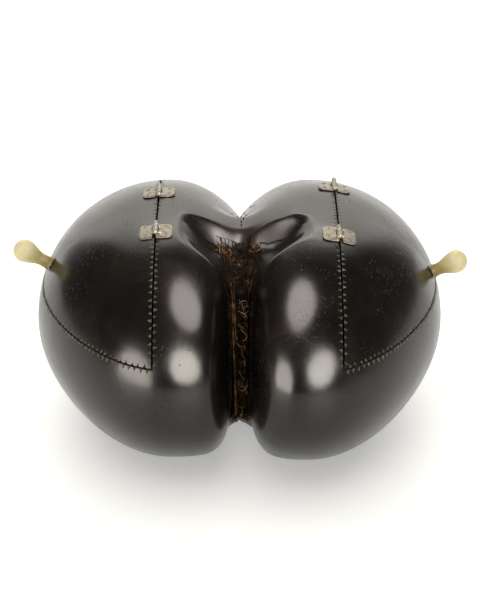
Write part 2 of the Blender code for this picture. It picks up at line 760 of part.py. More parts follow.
def keep_outside(mesh):
    """Fill the pockets that fusing sealed and drop loose scraps: only the largest surface stays."""
    shape = bmesh.new()
    shape.from_mesh(mesh)
    bmesh.ops.triangulate(shape, faces=shape.faces)
    shape.faces.index_update()
    unseen = {face.index: face for face in shape.faces}
    surfaces = []
    while unseen:
        surface = [unseen.popitem()[1]]
        for face in surface:
            for edge in face.edges:
                for other in edge.link_faces:
                    if other.index in unseen:
                        surface.append(unseen.pop(other.index))
        surfaces.append(surface)
    surfaces.sort(key=len)
    for surface in surfaces[:-1]:
        bmesh.ops.delete(shape, geom=surface, context="FACES")
    shape.to_mesh(mesh)
    shape.free()


def make_fibre_tuft(shell, material, root):
    """Mat of fibre in the hollow and the cleft, with loose strands fused to it."""
    depsgraph = bpy.context.evaluated_depsgraph_get()
    tree = BVHTree.FromObject(shell, depsgraph)
    stations = mat_stations()
    under, over = mat_surfaces(tree, stations)
    tuft = add_piece("fibre_tuft", mat_core(under, over, len(stations)), material, root, 50.0)
    strands = bpy.data.collections.new("strands")
    bpy.context.scene.collection.children.link(strands)
    rng = np.random.default_rng(STRAND_SEED)
    for number in range(STRANDS):
        long_one = number < LONG_STRANDS
        start = 0.30 + 0.05 * number if long_one else 0.06 + 0.62 * rng.random() ** 1.3
        length = 0.42 if long_one else 0.10 + 0.12 * rng.random()
        across = 0.16 if long_one else 0.14 + 0.72 * rng.random()
        drift = 0.3 * (rng.random() - 0.5)
        lift = 0.3 * STRAND_LIFT if long_one else STRAND_LIFT * (0.3 + 0.7 * rng.random())
        path = strand_path(over, stations, start, length, across, drift, lift)
        strand = bpy.data.objects.new(f"strand_{number}", strand_mesh(path))
        strand.parent = root
        strands.objects.link(strand)
    boolean = tuft.modifiers.new("strands", "BOOLEAN")
    boolean.operation = "UNION"
    boolean.solver = "MANIFOLD"
    boolean.operand_type = "COLLECTION"
    boolean.collection = strands
    bpy.context.view_layer.update()
    depsgraph = bpy.context.evaluated_depsgraph_get()
    fused = bpy.data.meshes.new_from_object(tuft.evaluated_get(depsgraph))
    keep_outside(fused)
    tuft.modifiers.clear()
    tuft.data = fused
    for strand in list(strands.objects):
        bpy.data.objects.remove(strand)
    bpy.data.collections.remove(strands)
    return tuft


def make_shell(outer, cavity, material, root):
    """The nut's body: hollowed, opened for the lids, and flat where it rests."""
    shell = add_piece("seed_shell", outer.copy(), material, root)
    for side in SIDE_NAMES:
        block = add_cutter(f"opening_{SIDE_NAMES[side]}", lid_block(side, SAW_GAP / 2), root)
        cut(shell, "DIFFERENCE", block)
    cut(shell, "DIFFERENCE", cavity)
    ground_top = FLAT_DEPTH - THICK_BELOW
    ground = box_mesh("ground", (-BLOCK_REACH, -BLOCK_REACH, -BLOCK_REACH), (BLOCK_REACH, BLOCK_REACH, ground_top))
    cut(shell, "DIFFERENCE", add_cutter("ground", ground, root))
    return shell


def make_lid(side, outer, cavity, material, parent, root):
    """The outer upper quarter of one lobe, drilled for its knob's tenon."""
    lid = add_piece(f"lid_{SIDE_NAMES[side]}", outer.copy(), material, parent)
    corner = add_cutter(f"corner_{SIDE_NAMES[side]}", lid_block(side, -SAW_GAP / 2), root)
    cut(lid, "INTERSECT", corner, "MANIFOLD")
    cut(lid, "DIFFERENCE", cavity, "MANIFOLD")
    bore_r = TENON_R + TENON_CLEARANCE
    profile = [(-3 * WALL, 0.0), (-3 * WALL, bore_r), (WALL, bore_r), (WALL, 0.0)]
    hole = turned_mesh("tenon_hole", profile, KNOB_SIDES, knob_frame(side))
    cut(lid, "DIFFERENCE", add_cutter(f"tenon_hole_{SIDE_NAMES[side]}", hole, root), "MANIFOLD")
    return lid


def build():
    for thing in list(bpy.data.objects):
        bpy.data.objects.remove(thing)
    shell_finish = make_material("polished_shell", SHELL_COLOUR, 0.22, 0.0)
    hinge_finish = make_material("hinge_metal", HINGE_COLOUR, 0.45, 1.0)
    nail_finish = make_material("nail_metal", HINGE_COLOUR, 0.40, 1.0)
    bone_finish = make_material("turned_bone", BONE_COLOUR, 0.35, 0.0)
    fibre_finish = make_material("husk_fibre", FIBRE_COLOUR, 0.85, 0.0)

    root = add_empty("nut_centre", NUT_CENTRE, None)
    outer = nut_mesh("outside", nut_field, OUTER_RAYS, OUTER_RINGS)
    cavity = add_cutter("cavity", nut_mesh("inside", cavity_field, CAVITY_RAYS, CAVITY_RINGS), root)
    shell = make_shell(outer, cavity, shell_finish, root)
    body_places = []
    for side, side_name in SIDE_NAMES.items():
        axis = add_empty(f"{side_name}_lid_axis", (CUT_X[side], 0.0, HINGE_AXIS_Z[side]), root)
        lid = make_lid(side, outer, cavity, shell_finish, axis, root)
        make_knob(side, bone_finish, axis)
        lid_places = []
        for hinge, hinge_y in enumerate(HINGE_YS[side]):
            body_places.extend(nail_places(side, hinge_y, False))
            lid_places.extend(nail_places(side, hinge_y, True))
        lid_holes = add_cutter(f"nail_holes_lid_{side_name}", nail_hole_mesh(lid_places), root)
        cut(lid, "DIFFERENCE", lid_holes, "MANIFOLD")
        for hinge in range(len(HINGE_NAMES)):
            make_leaf(side, hinge, True, hinge_finish, axis, root, lid_holes)
            make_nails(side, hinge, True, nail_finish, axis)
            make_nails(side, hinge, False, nail_finish, root)
            make_pin(side, hinge, hinge_finish, root)
    body_holes = add_cutter("nail_holes_body", nail_hole_mesh(body_places), root)
    cut(shell, "DIFFERENCE", body_holes)
    for side in SIDE_NAMES:
        for hinge in range(len(HINGE_NAMES)):
            make_leaf(side, hinge, False, hinge_finish, root, root, body_holes)
    bpy.data.meshes.remove(outer)
    bpy.context.view_layer.update()
    make_fibre_tuft(shell, fibre_finish, root)


build()
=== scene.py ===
"""Coco de mer nut made into a box: shell, lids, hinges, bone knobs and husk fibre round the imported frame.

Metres, +Z up. Shapes are worked out in the nut's own frame (origin between the lobes, in the middle of the
thickness, cleft towards -Y) and then moved to the part's frame, whose floor is Z = 0.
"""
import math

import bpy
import numpy as np
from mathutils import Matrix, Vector


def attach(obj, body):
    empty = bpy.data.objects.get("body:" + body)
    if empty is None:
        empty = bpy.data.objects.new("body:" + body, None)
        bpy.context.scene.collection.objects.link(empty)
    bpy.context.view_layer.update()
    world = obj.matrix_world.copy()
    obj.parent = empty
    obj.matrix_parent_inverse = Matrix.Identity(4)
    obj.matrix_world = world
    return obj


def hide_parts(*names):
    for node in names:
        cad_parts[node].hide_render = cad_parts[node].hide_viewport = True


bl_info = {
    "name": "Coco de mer box",
    "version": (1, 0, 0),
    "blender": (4, 5, 0),
    "location": "3D View > Sidebar > Nut Box",
    "description": "Dresses a coco de mer nut box with its shell, lids, hinges, knobs and fibre",
    "category": "Add Mesh",
}

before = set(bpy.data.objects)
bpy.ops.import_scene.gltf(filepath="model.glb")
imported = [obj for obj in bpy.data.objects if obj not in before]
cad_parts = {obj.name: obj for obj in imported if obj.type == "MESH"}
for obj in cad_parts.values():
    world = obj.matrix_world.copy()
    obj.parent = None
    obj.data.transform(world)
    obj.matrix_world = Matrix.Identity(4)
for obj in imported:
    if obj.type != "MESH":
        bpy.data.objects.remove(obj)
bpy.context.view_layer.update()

MM = 0.001
NUT_CENTRE = np.array((-0.00075, -0.0047, 0.0820))
SIDES = {"left": -1, "right": 1}
ENDS = ("front", "rear")

# The nut's outside, as in the part's source
CREST_X = 0.052
CREST_DRIFT = 0.006
OUTER_HALF = 0.094
OUTER_TAPER = 0.020
OUTER_SWELL = 0.010
INNER_HALF = 0.074
THICK_ABOVE = 0.086
THICK_BELOW = 0.083
LENGTH_FRONT = 0.146
LENGTH_BACK = 0.146
LONGER_LOBE = 0.003
MIDDLE_Y = 0.006
END_POWER = 2.1
CLEFT_HALF = 0.0062
CLEFT_X = 0.0008
CLEFT_FLOOR_LOW = -0.047
CLEFT_FLOOR_HIGH = -0.042
CLEFT_LOW_Z = -0.072
CLEFT_HIGH_Z = 0.055
LIP_BLEND = 0.019
HOLLOW_DEPTH = 0.0150
HOLLOW_ARM = {-1: 0.046, 1: 0.054}
HOLLOW_FADE = 0.032
HOLLOW_FRONT = -0.068
RIM_DIP = -0.005
MIDDLE_SHALLOW = 0.50
MIDDLE_SPREAD = 0.015
FOLD_HEIGHT = 0.0011
SADDLE_ROUND = 0.010
UNDER_HOLLOW = 0.006
BED_DEPTH = 0.0024
BED_LENGTH = 0.040
BED_Y = 0.004

# The box: wall, saw cuts, and where the hinges and knobs sit
WALL = 0.007
SAW_GAP = 0.0013
CUT_Z = 0.0255
CUT_X = {-1: -0.058, 1: 0.069}
HINGE_AXIS_Z = {-1: 0.0856, 1: 0.0836}
HINGE_YS = {-1: (-0.0320, 0.0360), 1: (-0.0346, 0.0517)}
FLAT_DEPTH = 0.001
LEAF_REACH = 0.0115
LEAF_HALF_LENGTH = 0.009
LEAF_THICK = 0.0010
LEAF_INNER = 0.0005
LEAF_NOTCH = 0.0023
SEAT_GAP = 0.0004
KNUCKLE_R = 0.0017
KNUCKLE_BORE_R = 0.00095
KNUCKLE_SPLIT = 0.0030
KNUCKLE_GAP = 0.0008
PIN_R = 0.00075
NAIL_U = 0.0075
NAIL_V = 0.0052
KNOB_Y = {-1: 0.014, 1: 0.013}
KNOB_Z = {-1: 0.037, 1: 0.0315}
KNOB_REACH = {-1: 0.0210, 1: 0.0185}
TENON_R = 0.0030
TENON_LENGTH = 0.0066

# The mat of husk fibre: how its rays turn from the hollow to the cleft, and its length
MAT_SPINE_Y = -0.010
MAT_TURN_START = math.radians(94.0)
MAT_DROP = 0.066
MAT_TURN_SHARE = 0.60
MAT_SCALE = 0.15
MAT_ROWS = 220
MAT_COLUMNS = 60

# The camera, fitted to the photo's outline, and the studio
CAMERA_TILT = math.radians(26.0)
CAMERA_DISTANCE = 1.5
CAMERA_LENS = 155.65
CAMERA_SHIFT = (0.5 / 480.0, 16.0 / 480.0)
FLOOR_RADIUS = 8.0
FLOOR_DROP = 0.0002

# Rays and rings of the surfaces, closer together where the lobe shows most, and the halvings of each search
OUTER_RAYS = 216
OUTER_RINGS = 104
CAVITY_RAYS = 84
CAVITY_RINGS = 44
LOBE_EYE = np.array((0.058, 0.014, 0.0))
DENSE_ANGLE = math.radians(150.0)
DENSE_SHARE = 0.40
DENSE_SEAM = 0.45
HALVINGS = 32
SEAM_HALVINGS = 28


def linear(hex_colour):
    """An sRGB hex value as linear red, green and blue."""
    parts = [int(hex_colour[i:i + 2], 16) / 255.0 for i in (1, 3, 5)]
    return tuple(p / 12.92 if p <= 0.04045 else ((p + 0.055) / 1.055) ** 2.4 for p in parts)


def smoothstep(t):
    """A rise from 0 to 1 that starts and ends level: t squared times 3 - 2t, with t held from 0 to 1."""
    t = np.clip(t, 0.0, 1.0)
    return t * t * (3.0 - 2.0 * t)


def smooth_max(a, b, blend):
    """The larger of two fields: their mix by the share of a, which runs from 0 to 1 while a passes b, plus
    blend times that share times the rest, which rounds the edge between them."""
    share = np.clip(0.5 + 0.5 * (a - b) / blend, 0.0, 1.0)
    return b + (a - b) * share + blend * share * (1.0 - share)


def hollow_depth(across, y, side):
    """Depth of the hollow above the cleft: a broad floor with two arms, a steep back wall and one fold."""
    arm = np.where(side > 0, HOLLOW_ARM[1], HOLLOW_ARM[-1])
    arm_fade = 1.0 - smoothstep((across - arm + HOLLOW_FADE) / HOLLOW_FADE)
    right = np.where(side > 0, 0.005, 0.0) * smoothstep(across / 0.012) * arm_fade
    rim = RIM_DIP * np.exp(-(across / 0.012) ** 2) - 0.001 - 0.10 * across - right
    back_wall = smoothstep((rim + 0.003 - y) / 0.0130)
    front_slope = smoothstep((y - HOLLOW_FRONT - 0.55 * across) / 0.020)
    fold_line = rim - 0.013 + 0.12 * across
    fold = FOLD_HEIGHT * np.exp(-((y - fold_line) / 0.0025) ** 2) * smoothstep((across - 0.018) / 0.008)
    shallow = 1.0 - MIDDLE_SHALLOW * np.exp(-(across / MIDDLE_SPREAD) ** 2)
    return (HOLLOW_DEPTH * shallow + fold) * arm_fade * back_wall * front_slope


def hinge_bed(across, y):
    """Depth pared off each crest so that two hinges share one straight axis."""
    return BED_DEPTH * np.exp(-((y - BED_Y) / BED_LENGTH) ** 2) * smoothstep((across - 0.036) / 0.016)


def nut_field(x, y, z):
    """Rough signed distance to the nut's outside. A lobe's section is a rounded oval either side of its crest,
    and with the place along it makes an egg; its distance is how far the egg's measure is over 1, divided by
    its slope. The cleft is a slot with a round floor, taken away with blended lips."""
    across = np.abs(x)
    side = np.where(x > 0, 1, -1)
    away = smoothstep(across / 0.040)
    pared = hollow_depth(across, y, side) + hinge_bed(across, y)
    height = z + pared * smoothstep((z - 0.010) / 0.035)
    along = y - MIDDLE_Y
    front_length = LENGTH_FRONT + side * LONGER_LOBE * away
    length = np.where(along < 0, front_length, LENGTH_BACK)
    forward = np.clip(-along / LENGTH_FRONT, 0.0, 1.0)
    backward = np.clip(along / LENGTH_BACK, 0.0, 1.0)
    crest = CREST_X - CREST_DRIFT * forward ** 2
    outer = OUTER_HALF - OUTER_TAPER * forward ** 1.3 + OUTER_SWELL * backward * (1.0 - backward)
    bridge = smoothstep((y + 0.014) / 0.016) * (1.0 - smoothstep((y - 0.020) / 0.020))
    bridge = SADDLE_ROUND * bridge * smoothstep((z - 0.020) / 0.030) * (1.0 - smoothstep(across / 0.040))
    from_crest = np.sqrt(across ** 2 + bridge ** 2) - crest
    low = smoothstep(-height / 0.040)
    half_width = np.where(from_crest > 0, outer, INNER_HALF)
    half_thick = np.where(height > 0, THICK_ABOVE, THICK_BELOW)
    power = np.where(from_crest > 0, 2.0 - 0.10 * low, 2.0 + 0.9 * low)
    wide = np.abs(from_crest) / half_width
    tall = np.abs(height) / half_thick
    section = (wide ** power + tall ** power + 1e-12) ** (1.0 / power)
    egg = (section ** END_POWER + np.abs(along / length) ** END_POWER + 1e-12) ** (1.0 / END_POWER)
    slope = np.sqrt((from_crest / half_width ** 2) ** 2
                    + (along / length ** 2) ** 2
                    + (height / half_thick ** 2) ** 2) + 1e-6
    lobe = egg * (egg - 1.0) / slope
    rise = smoothstep((z - CLEFT_LOW_Z) / (CLEFT_HIGH_Z - CLEFT_LOW_Z))
    floor_y = CLEFT_FLOOR_LOW + (CLEFT_FLOOR_HIGH - CLEFT_FLOOR_LOW) * rise
    slot = np.sqrt((x - CLEFT_X) ** 2 + np.maximum(0.0, y - floor_y) ** 2) - CLEFT_HALF
    return smooth_max(lobe, -slot, LIP_BLEND)


def skin_field(x, y, z):
    """The outside with slow hand-scraped waves, products of sines at three sizes, that bend its reflections and
    never stand proud of the smooth form."""
    wave = (np.sin(41.0 * x + 23.0 * y + 1.3) * np.sin(37.0 * z + 29.0 * y)
            + 0.6 * np.sin(83.0 * y - 61.0 * z + 0.7) * np.sin(71.0 * x + 0.4)
            + 0.35 * np.sin(173.0 * x + 90.0 * z) * np.sin(151.0 * y + 120.0 * z))
    return nut_field(x, y, z) + 0.00010 * (1.95 + wave)


def cavity_field(x, y, z):
    """The inside: a wall's thickness in, further in under the hollow, and chisel-rough by products of sines."""
    rough = (np.sin(310.0 * y + 90.0 * x) * np.sin(270.0 * z + 140.0 * x)
             + 0.7 * np.sin(620.0 * y + 3.0 * np.sin(200.0 * z)) * np.sin(540.0 * z + 400.0 * x))
    side = np.where(x > 0, 1, -1)
    under = smoothstep(hollow_depth(np.abs(x), y, side) / 0.004) * smoothstep((z - 0.010) / 0.035)
    return nut_field(x, y, z) + WALL + UNDER_HOLLOW * under + 0.00022 * rough


def gradient(field, points):
    """Direction square to a field's surface at each point, from differences either side."""
    step = 0.00015
    slopes = []
    for axis in np.eye(3) * step:
        slopes.append(field(*(points + axis).T) - field(*(points - axis).T))
    normals = np.stack(slopes, axis=-1)
    return normals / (np.linalg.norm(normals, axis=-1, keepdims=True) + 1e-12)


def ray_hits(field, origins, ways, reach):
    """Distance along each ray from inside the nut to the surface, by halving."""
    low = np.zeros(ways.shape[:-1])
    high = np.full(ways.shape[:-1], reach)
    for _ in range(HALVINGS):
        middle = 0.5 * (low + high)
        at = origins + middle[..., None] * ways
        inside = field(at[..., 0], at[..., 1], at[..., 2]) < 0.0
        low = np.where(inside, middle, low)
        high = np.where(inside, high, middle)
    return 0.5 * (low + high)


def top_height(x, y, field=nut_field):
    """Height of the upper face over points in plan."""
    x = np.asarray(x, float)
    y = np.asarray(y, float)
    origins = np.stack((x, y, np.zeros_like(x)), axis=-1)
    ways = np.zeros(origins.shape)
    ways[..., 2] = 1.0
    return ray_hits(field, origins, ways, 0.12)


def lobe_grid(field, side, rays, rings):
    """Half the nut as rings round the lobe's long way: rays leave the lobe's eye at angle phi, and the angle
    theta from the outer pole is spread evenly along the surface up to the middle plane."""

    def points_at(theta, phi):
        """The surface along the rays of two angles, stopped at the middle plane."""
        ways = np.stack((np.cos(theta), np.sin(theta) * np.cos(phi), np.sin(theta) * np.sin(phi)), axis=-1)

        def clipped(x, y, z):
            """The field of this lobe, which ends at the middle plane."""
            return np.where(x > 0, field(side * x, y, z), 1.0)

        length = ray_hits(clipped, np.broadcast_to(LOBE_EYE, ways.shape), ways, 0.22)
        return LOBE_EYE + length[..., None] * ways

    turn = np.linspace(0.0, 2.0 * np.pi, rays, endpoint=False)
    phi = turn - DENSE_SHARE * np.sin(turn - DENSE_ANGLE)
    low = np.full(rays, np.pi / 2)
    high = np.full(rays, np.pi * 0.999)
    for _ in range(SEAM_HALVINGS):
        middle = 0.5 * (low + high)
        reached = points_at(middle, phi)[..., 0] > 1e-6
        low = np.where(reached, middle, low)
        high = np.where(reached, high, middle)
    fine = np.linspace(0.0, 1.0, 200)[:, None] * low[None, :]
    points = points_at(fine, np.broadcast_to(phi, fine.shape))
    arc = np.vstack((np.zeros(rays), np.cumsum(np.linalg.norm(np.diff(points, axis=0), axis=-1), axis=0)))
    arc = arc / arc[-1]
    share = np.linspace(0.0, 1.0, rings)
    share = share * (1.0 + DENSE_SEAM) - DENSE_SEAM * share ** 2
    theta = np.stack([np.interp(share, arc[:, ray], fine[:, ray]) for ray in range(rays)], axis=1)
    points = points_at(theta, np.broadcast_to(phi, theta.shape))
    points[-1, :, 0] = 0.0
    return points * np.array((side, 1.0, 1.0))


def grid_faces(rows, columns, closed):
    """Quads of a grid of points, row by row; closed joins the last column to the first."""
    row = np.arange(rows - 1)[:, None] * columns
    column = np.arange(columns if closed else columns - 1)[None, :]
    after = (column + 1) % columns
    quads = np.stack((row + column, row + after, row + columns + after, row + columns + column), axis=-1)
    return quads.reshape(-1, 4)


def values_of(items, key, width=1, kind=float):
    """One property of all of a mesh's items as an array, a row for each item where it has a width."""
    found = np.empty(len(items) * width, kind)
    items.foreach_get(key, found)
    return found.reshape(-1, width) if width > 1 else found


def mesh_from(name, points, faces):
    """A mesh from one array of points and a list of face arrays."""
    mesh = bpy.data.meshes.new(name)
    every = [face for block in faces for face in np.asarray(block).tolist()]
    mesh.from_pydata(np.asarray(points, float).reshape(-1, 3).tolist(), [], every)
    mesh.validate()
    return mesh


def outward_faces(mesh):
    """Turn a closed mesh's faces outwards if its volume, summed over its triangles, comes out negative."""
    points = values_of(mesh.vertices, "co", 3)
    points = points - points.mean(axis=0)
    mesh.calc_loop_triangles()
    corners = values_of(mesh.loop_triangles, "vertices", 3, np.int64)
    a, b, c = points[corners].transpose(1, 0, 2)
    if np.einsum("ij,ij->i", np.cross(a, b), c).sum() < 0:
        mesh.flip_normals()
    return mesh


def sheet_between(name, upper, under):
    """A closed sheet: two grids of points of one shape, joined by walls round their rims."""
    rows, columns = upper.shape[:2]
    count = rows * columns
    quads = grid_faces(rows, columns, False)
    rim = np.concatenate((np.arange(columns),
                          np.arange(1, rows) * columns + columns - 1,
                          (rows - 1) * columns + np.arange(columns - 2, -1, -1),
                          np.arange(rows - 2, 0, -1) * columns))
    after = np.roll(rim, -1)
    walls = np.stack((rim, count + rim, count + after, after), axis=-1)
    points = np.concatenate((upper.reshape(-1, 3), under.reshape(-1, 3)))
    return outward_faces(mesh_from(name, points, (quads, count + quads[:, ::-1], walls)))


def nut_surface(name, field, rays, rings):
    """Both lobes as one closed surface: rings from the left pole over a shared middle to the right pole."""
    left = lobe_grid(field, -1, rays, rings)
    right = lobe_grid(field, 1, rays, rings)
    seam = 0.5 * (left[-1] + right[-1])
    bands = np.concatenate((left[1:-1], seam[None], right[-2:0:-1]))
    count = len(bands)
    points = np.concatenate((bands.reshape(-1, 3), left[0, :1], right[0, :1]))
    quads = grid_faces(count, rays, True)
    here = np.arange(rays)
    after = (here + 1) % rays
    left_cap = np.stack((np.full(rays, count * rays), after, here), axis=-1)
    last = (count - 1) * rays
    right_cap = np.stack((np.full(rays, count * rays + 1), last + here, last + after), axis=-1)
    return mesh_from(name, points, (quads, left_cap, right_cap))


def turned_surface(name, profile, sides, place):
    """A profile of (height, radius) pairs turned about its own Z, with its ends closed, then put in place."""
    profile = np.asarray(profile, float)
    angle = np.linspace(0.0, 2.0 * np.pi, sides, endpoint=False)
    rings = np.stack((profile[:, 1:] * np.cos(angle), profile[:, 1:] * np.sin(angle),
                      np.broadcast_to(profile[:, :1], (len(profile), sides))), axis=-1)
    poles = np.array(((0.0, 0.0, profile[0, 0]), (0.0, 0.0, profile[-1, 0])))
    points = np.concatenate((rings.reshape(-1, 3), poles))
    here = np.arange(sides)
    after = (here + 1) % sides
    first = len(profile) * sides
    last = (len(profile) - 1) * sides
    caps = (np.stack((np.full(sides, first), after, here), axis=-1),
            np.stack((np.full(sides, first + 1), last + here, last + after), axis=-1))
    moved = points @ np.asarray(place)[:3, :3].T + np.asarray(place)[:3, 3]
    return mesh_from(name, moved, (grid_faces(len(profile), sides, True), *caps))


def placed(origin, x_axis, y_axis, z_axis):
    """A place as a matrix: three axes and an origin."""
    place = np.eye(4)
    place[:3, 0], place[:3, 1], place[:3, 2], place[:3, 3] = x_axis, y_axis, z_axis, origin
    return place


def tubes(paths, radii, sides):
    """Many fibres at once: each path of points carries a small polygon whose size follows its radius."""
    count, steps = paths.shape[:2]
    ahead = np.gradient(paths, axis=1)
    ahead /= np.linalg.norm(ahead, axis=-1, keepdims=True) + 1e-12
    across = np.cross(ahead, np.array((0.31, 0.22, 0.92)))
    across /= np.linalg.norm(across, axis=-1, keepdims=True) + 1e-12
    upward = np.cross(across, ahead)
    angle = np.linspace(0.0, 2.0 * np.pi, sides, endpoint=False)
    ring = (np.cos(angle)[:, None] * across[:, :, None, :] + np.sin(angle)[:, None] * upward[:, :, None, :])
    points = paths[:, :, None, :] + radii[:, :, None, None] * ring
    one = grid_faces(steps, sides, True)
    first = np.arange(sides)[::-1][None]
    last = (steps - 1) * sides + np.arange(sides)[None]
    offset = (np.arange(count) * steps * sides)[:, None, None]
    quads = (one[None] + offset).reshape(-1, 4)
    ends = (np.concatenate((first, last))[None] + offset).reshape(-1, sides)
    return points.reshape(-1, 3), quads, ends


def add(tree, kind, sockets=None, **settings):
    """Add one shader node: settings go on the node, and each socket gets a value or a link."""
    made = tree.nodes.new(kind)
    for key, value in settings.items():
        setattr(made, key, value)
    for key, value in (sockets or {}).items():
        if isinstance(value, bpy.types.NodeSocket):
            tree.links.new(value, made.inputs[key])
        else:
            made.inputs[key].default_value = value
    return made


def ramp_stops(made, stops):
    """Set a colour ramp's stops from (position, hex or grey) pairs in rising order."""
    elements = made.color_ramp.elements
    elements.remove(elements[1])
    elements[0].position = stops[0][0]
    for number, (position, colour) in enumerate(stops):
        element = elements.new(position) if number else elements[0]
        grey = not isinstance(colour, str)
        element.color = (colour, colour, colour, 1.0) if grey else (*linear(colour), 1.0)
    return made.outputs["Color"]


def new_finish(name, **sockets):
    """A Principled material with its plain values on the shader's own sockets."""
    material = bpy.data.materials.new(name)
    material.use_nodes = True
    tree = material.node_tree
    shader = tree.nodes["Principled BSDF"]
    for key, value in sockets.items():
        shader.inputs[key.replace("_", " ")].default_value = value
    return tree, shader, add(tree, "ShaderNodeTexCoord").outputs["Object"]


def grained(tree, shader, value, grain, stops, strength, depth):
    """Colour a finish by a value through a ramp's stops, and emboss it by its grain."""
    colour = ramp_stops(add(tree, "ShaderNodeValToRGB", {"Fac": value}), stops)
    tree.links.new(colour, shader.inputs["Base Color"])
    bump = add(tree, "ShaderNodeBump", {"Height": grain, "Strength": strength, "Distance": depth})
    tree.links.new(bump.outputs[0], shader.inputs["Normal"])


def polished_shell_finish():
    """Coco de mer shell, scraped and hand-polished: nearly black with brown clouds, waxed to a soft gloss with
    hairline scratches, pale dust in the pores and duller patches where it is handled, and paler in the hollow
    above the cleft by a painted reflection."""
    tree, shader, place = new_finish("polished_nut_shell", IOR=1.40)
    clouds = add(tree, "ShaderNodeTexNoise", {"Vector": place, "Scale": 24.0, "Detail": 6.0, "Roughness": 0.62,
                                              "Distortion": 0.6}).outputs["Fac"]
    fine = add(tree, "ShaderNodeTexNoise", {"Vector": place, "Scale": 260.0, "Detail": 4.0}).outputs["Fac"]
    base = ramp_stops(add(tree, "ShaderNodeValToRGB", {"Fac": clouds}),
                      ((0.30, "#0a0806"), (0.52, "#110d0a"), (0.66, "#18120d"), (0.82, "#241810")))
    # Pores and dust: specks about 0.6 mm across, in a quarter of the cells
    pores = add(tree, "ShaderNodeTexVoronoi", {"Vector": place, "Scale": 150.0, "Randomness": 1.0})
    speck = ramp_stops(add(tree, "ShaderNodeValToRGB", {"Fac": pores.outputs["Distance"]}),
                       ((0.055, 1.0), (0.085, 0.0)))
    some = ramp_stops(add(tree, "ShaderNodeValToRGB", {"Fac": pores.outputs["Color"]}),
                      ((0.72, 0.0), (0.80, 1.0)))
    speck = add(tree, "ShaderNodeMath", {0: speck, 1: some}, operation="MULTIPLY").outputs[0]
    # Hairline scratches: thin levels of noise stretched along two directions, broken up by a coarser noise
    lines = []
    for turn, reach in (((0.5, 0.35, 0.6), (1400.0, 45.0, 900.0)), ((-0.4, 0.7, -0.9), (1200.0, 38.0, 1300.0))):
        stretch = add(tree, "ShaderNodeMapping", {"Vector": place, "Rotation": turn, "Scale": reach}).outputs[0]
        line = add(tree, "ShaderNodeTexNoise", {"Vector": stretch, "Scale": 1.0, "Detail": 1.0}).outputs["Fac"]
        lines.append(ramp_stops(add(tree, "ShaderNodeValToRGB", {"Fac": line}), ((0.715, 0.0), (0.735, 1.0))))
    scratch = add(tree, "ShaderNodeMath", {0: lines[0], 1: lines[1]}, operation="MAXIMUM").outputs[0]
    broken = add(tree, "ShaderNodeTexNoise", {"Vector": place, "Scale": 40.0, "Detail": 3.0}).outputs["Fac"]
    broken = ramp_stops(add(tree, "ShaderNodeValToRGB", {"Fac": broken}), ((0.50, 0.0), (0.62, 1.0)))
    scratch = add(tree, "ShaderNodeMath", {0: scratch, 1: broken}, operation="MULTIPLY").outputs[0]
    marks = add(tree, "ShaderNodeMath", {0: speck, 1: scratch}, operation="MAXIMUM").outputs[0]
    mark_share = add(tree, "ShaderNodeMath", {0: marks, 1: 0.13}, operation="MULTIPLY").outputs[0]
    marked = {"Factor": mark_share, "A": base, "B": (*linear("#8d8378"), 1.0)}
    coloured = add(tree, "ShaderNodeMix", marked, data_type="RGBA").outputs["Result"]
    # Painted reflection in the hollow above the cleft: a paler grey-brown mixed in where its floor reflects the
    # light
    centred = add(tree, "ShaderNodeMapping", {"Vector": place, "Location": (0.0, 0.28, -2.75),
                                              "Scale": (17.0, 22.0, 19.0)}).outputs[0]
    near = add(tree, "ShaderNodeVectorMath", {0: centred}, operation="LENGTH").outputs["Value"]
    hollow_reflection_mask = ramp_stops(add(tree, "ShaderNodeValToRGB", {"Fac": near}), ((0.35, 1.0), (1.0, 0.0)))
    hollow_reflection_mask = add(tree, "ShaderNodeMath", {0: hollow_reflection_mask, 1: clouds}, operation="MULTIPLY").outputs[0]
    hollow_reflection_mix = {"Factor": hollow_reflection_mask, "A": coloured, "B": (*linear("#302a24"), 1.0)}
    coloured = add(tree, "ShaderNodeMix", hollow_reflection_mix, data_type="RGBA").outputs["Result"]
    tree.links.new(coloured, shader.inputs["Base Color"])
    # Roughness rises from 0.09 with the clouds, the hollow's painted reflection and the marks
    gloss = add(tree, "ShaderNodeMath", {0: clouds, 1: 0.30, 2: 0.09}, operation="MULTIPLY_ADD").outputs[0]
    gloss = add(tree, "ShaderNodeMath", {0: hollow_reflection_mask, 1: 0.20, 2: gloss}, operation="MULTIPLY_ADD").outputs[0]
    dull = add(tree, "ShaderNodeMath", {0: marks, 1: 0.25, 2: gloss}, operation="MULTIPLY_ADD").outputs[0]
    tree.links.new(dull, shader.inputs["Roughness"])
    low = add(tree, "ShaderNodeBump", {"Height": clouds, "Strength": 0.10, "Distance": 0.0015}).outputs[0]
    skin = add(tree, "ShaderNodeBump", {"Height": fine, "Strength": 0.12, "Distance": 0.0003,
                                        "Normal": low}).outputs[0]
    worn = add(tree, "ShaderNodeBump", {"Height": marks, "Strength": 0.50, "Distance": 0.0003, "Normal": skin},
               invert=True).outputs[0]
    tree.links.new(worn, shader.inputs["Normal"])


def dry_cut_finish(name, roughness, scale, detail, stops, strength, depth):
    """Bare shell in the cuts: dry, and speckled by a fine grain that colours and embosses it."""
    tree, shader, place = new_finish(name, Roughness=roughness, Specular_IOR_Level=0.15)
    grain = add(tree, "ShaderNodeTexNoise", {"Vector": place, "Scale": scale, "Detail": detail}).outputs["Fac"]
    grained(tree, shader, grain, grain, stops, strength, depth)


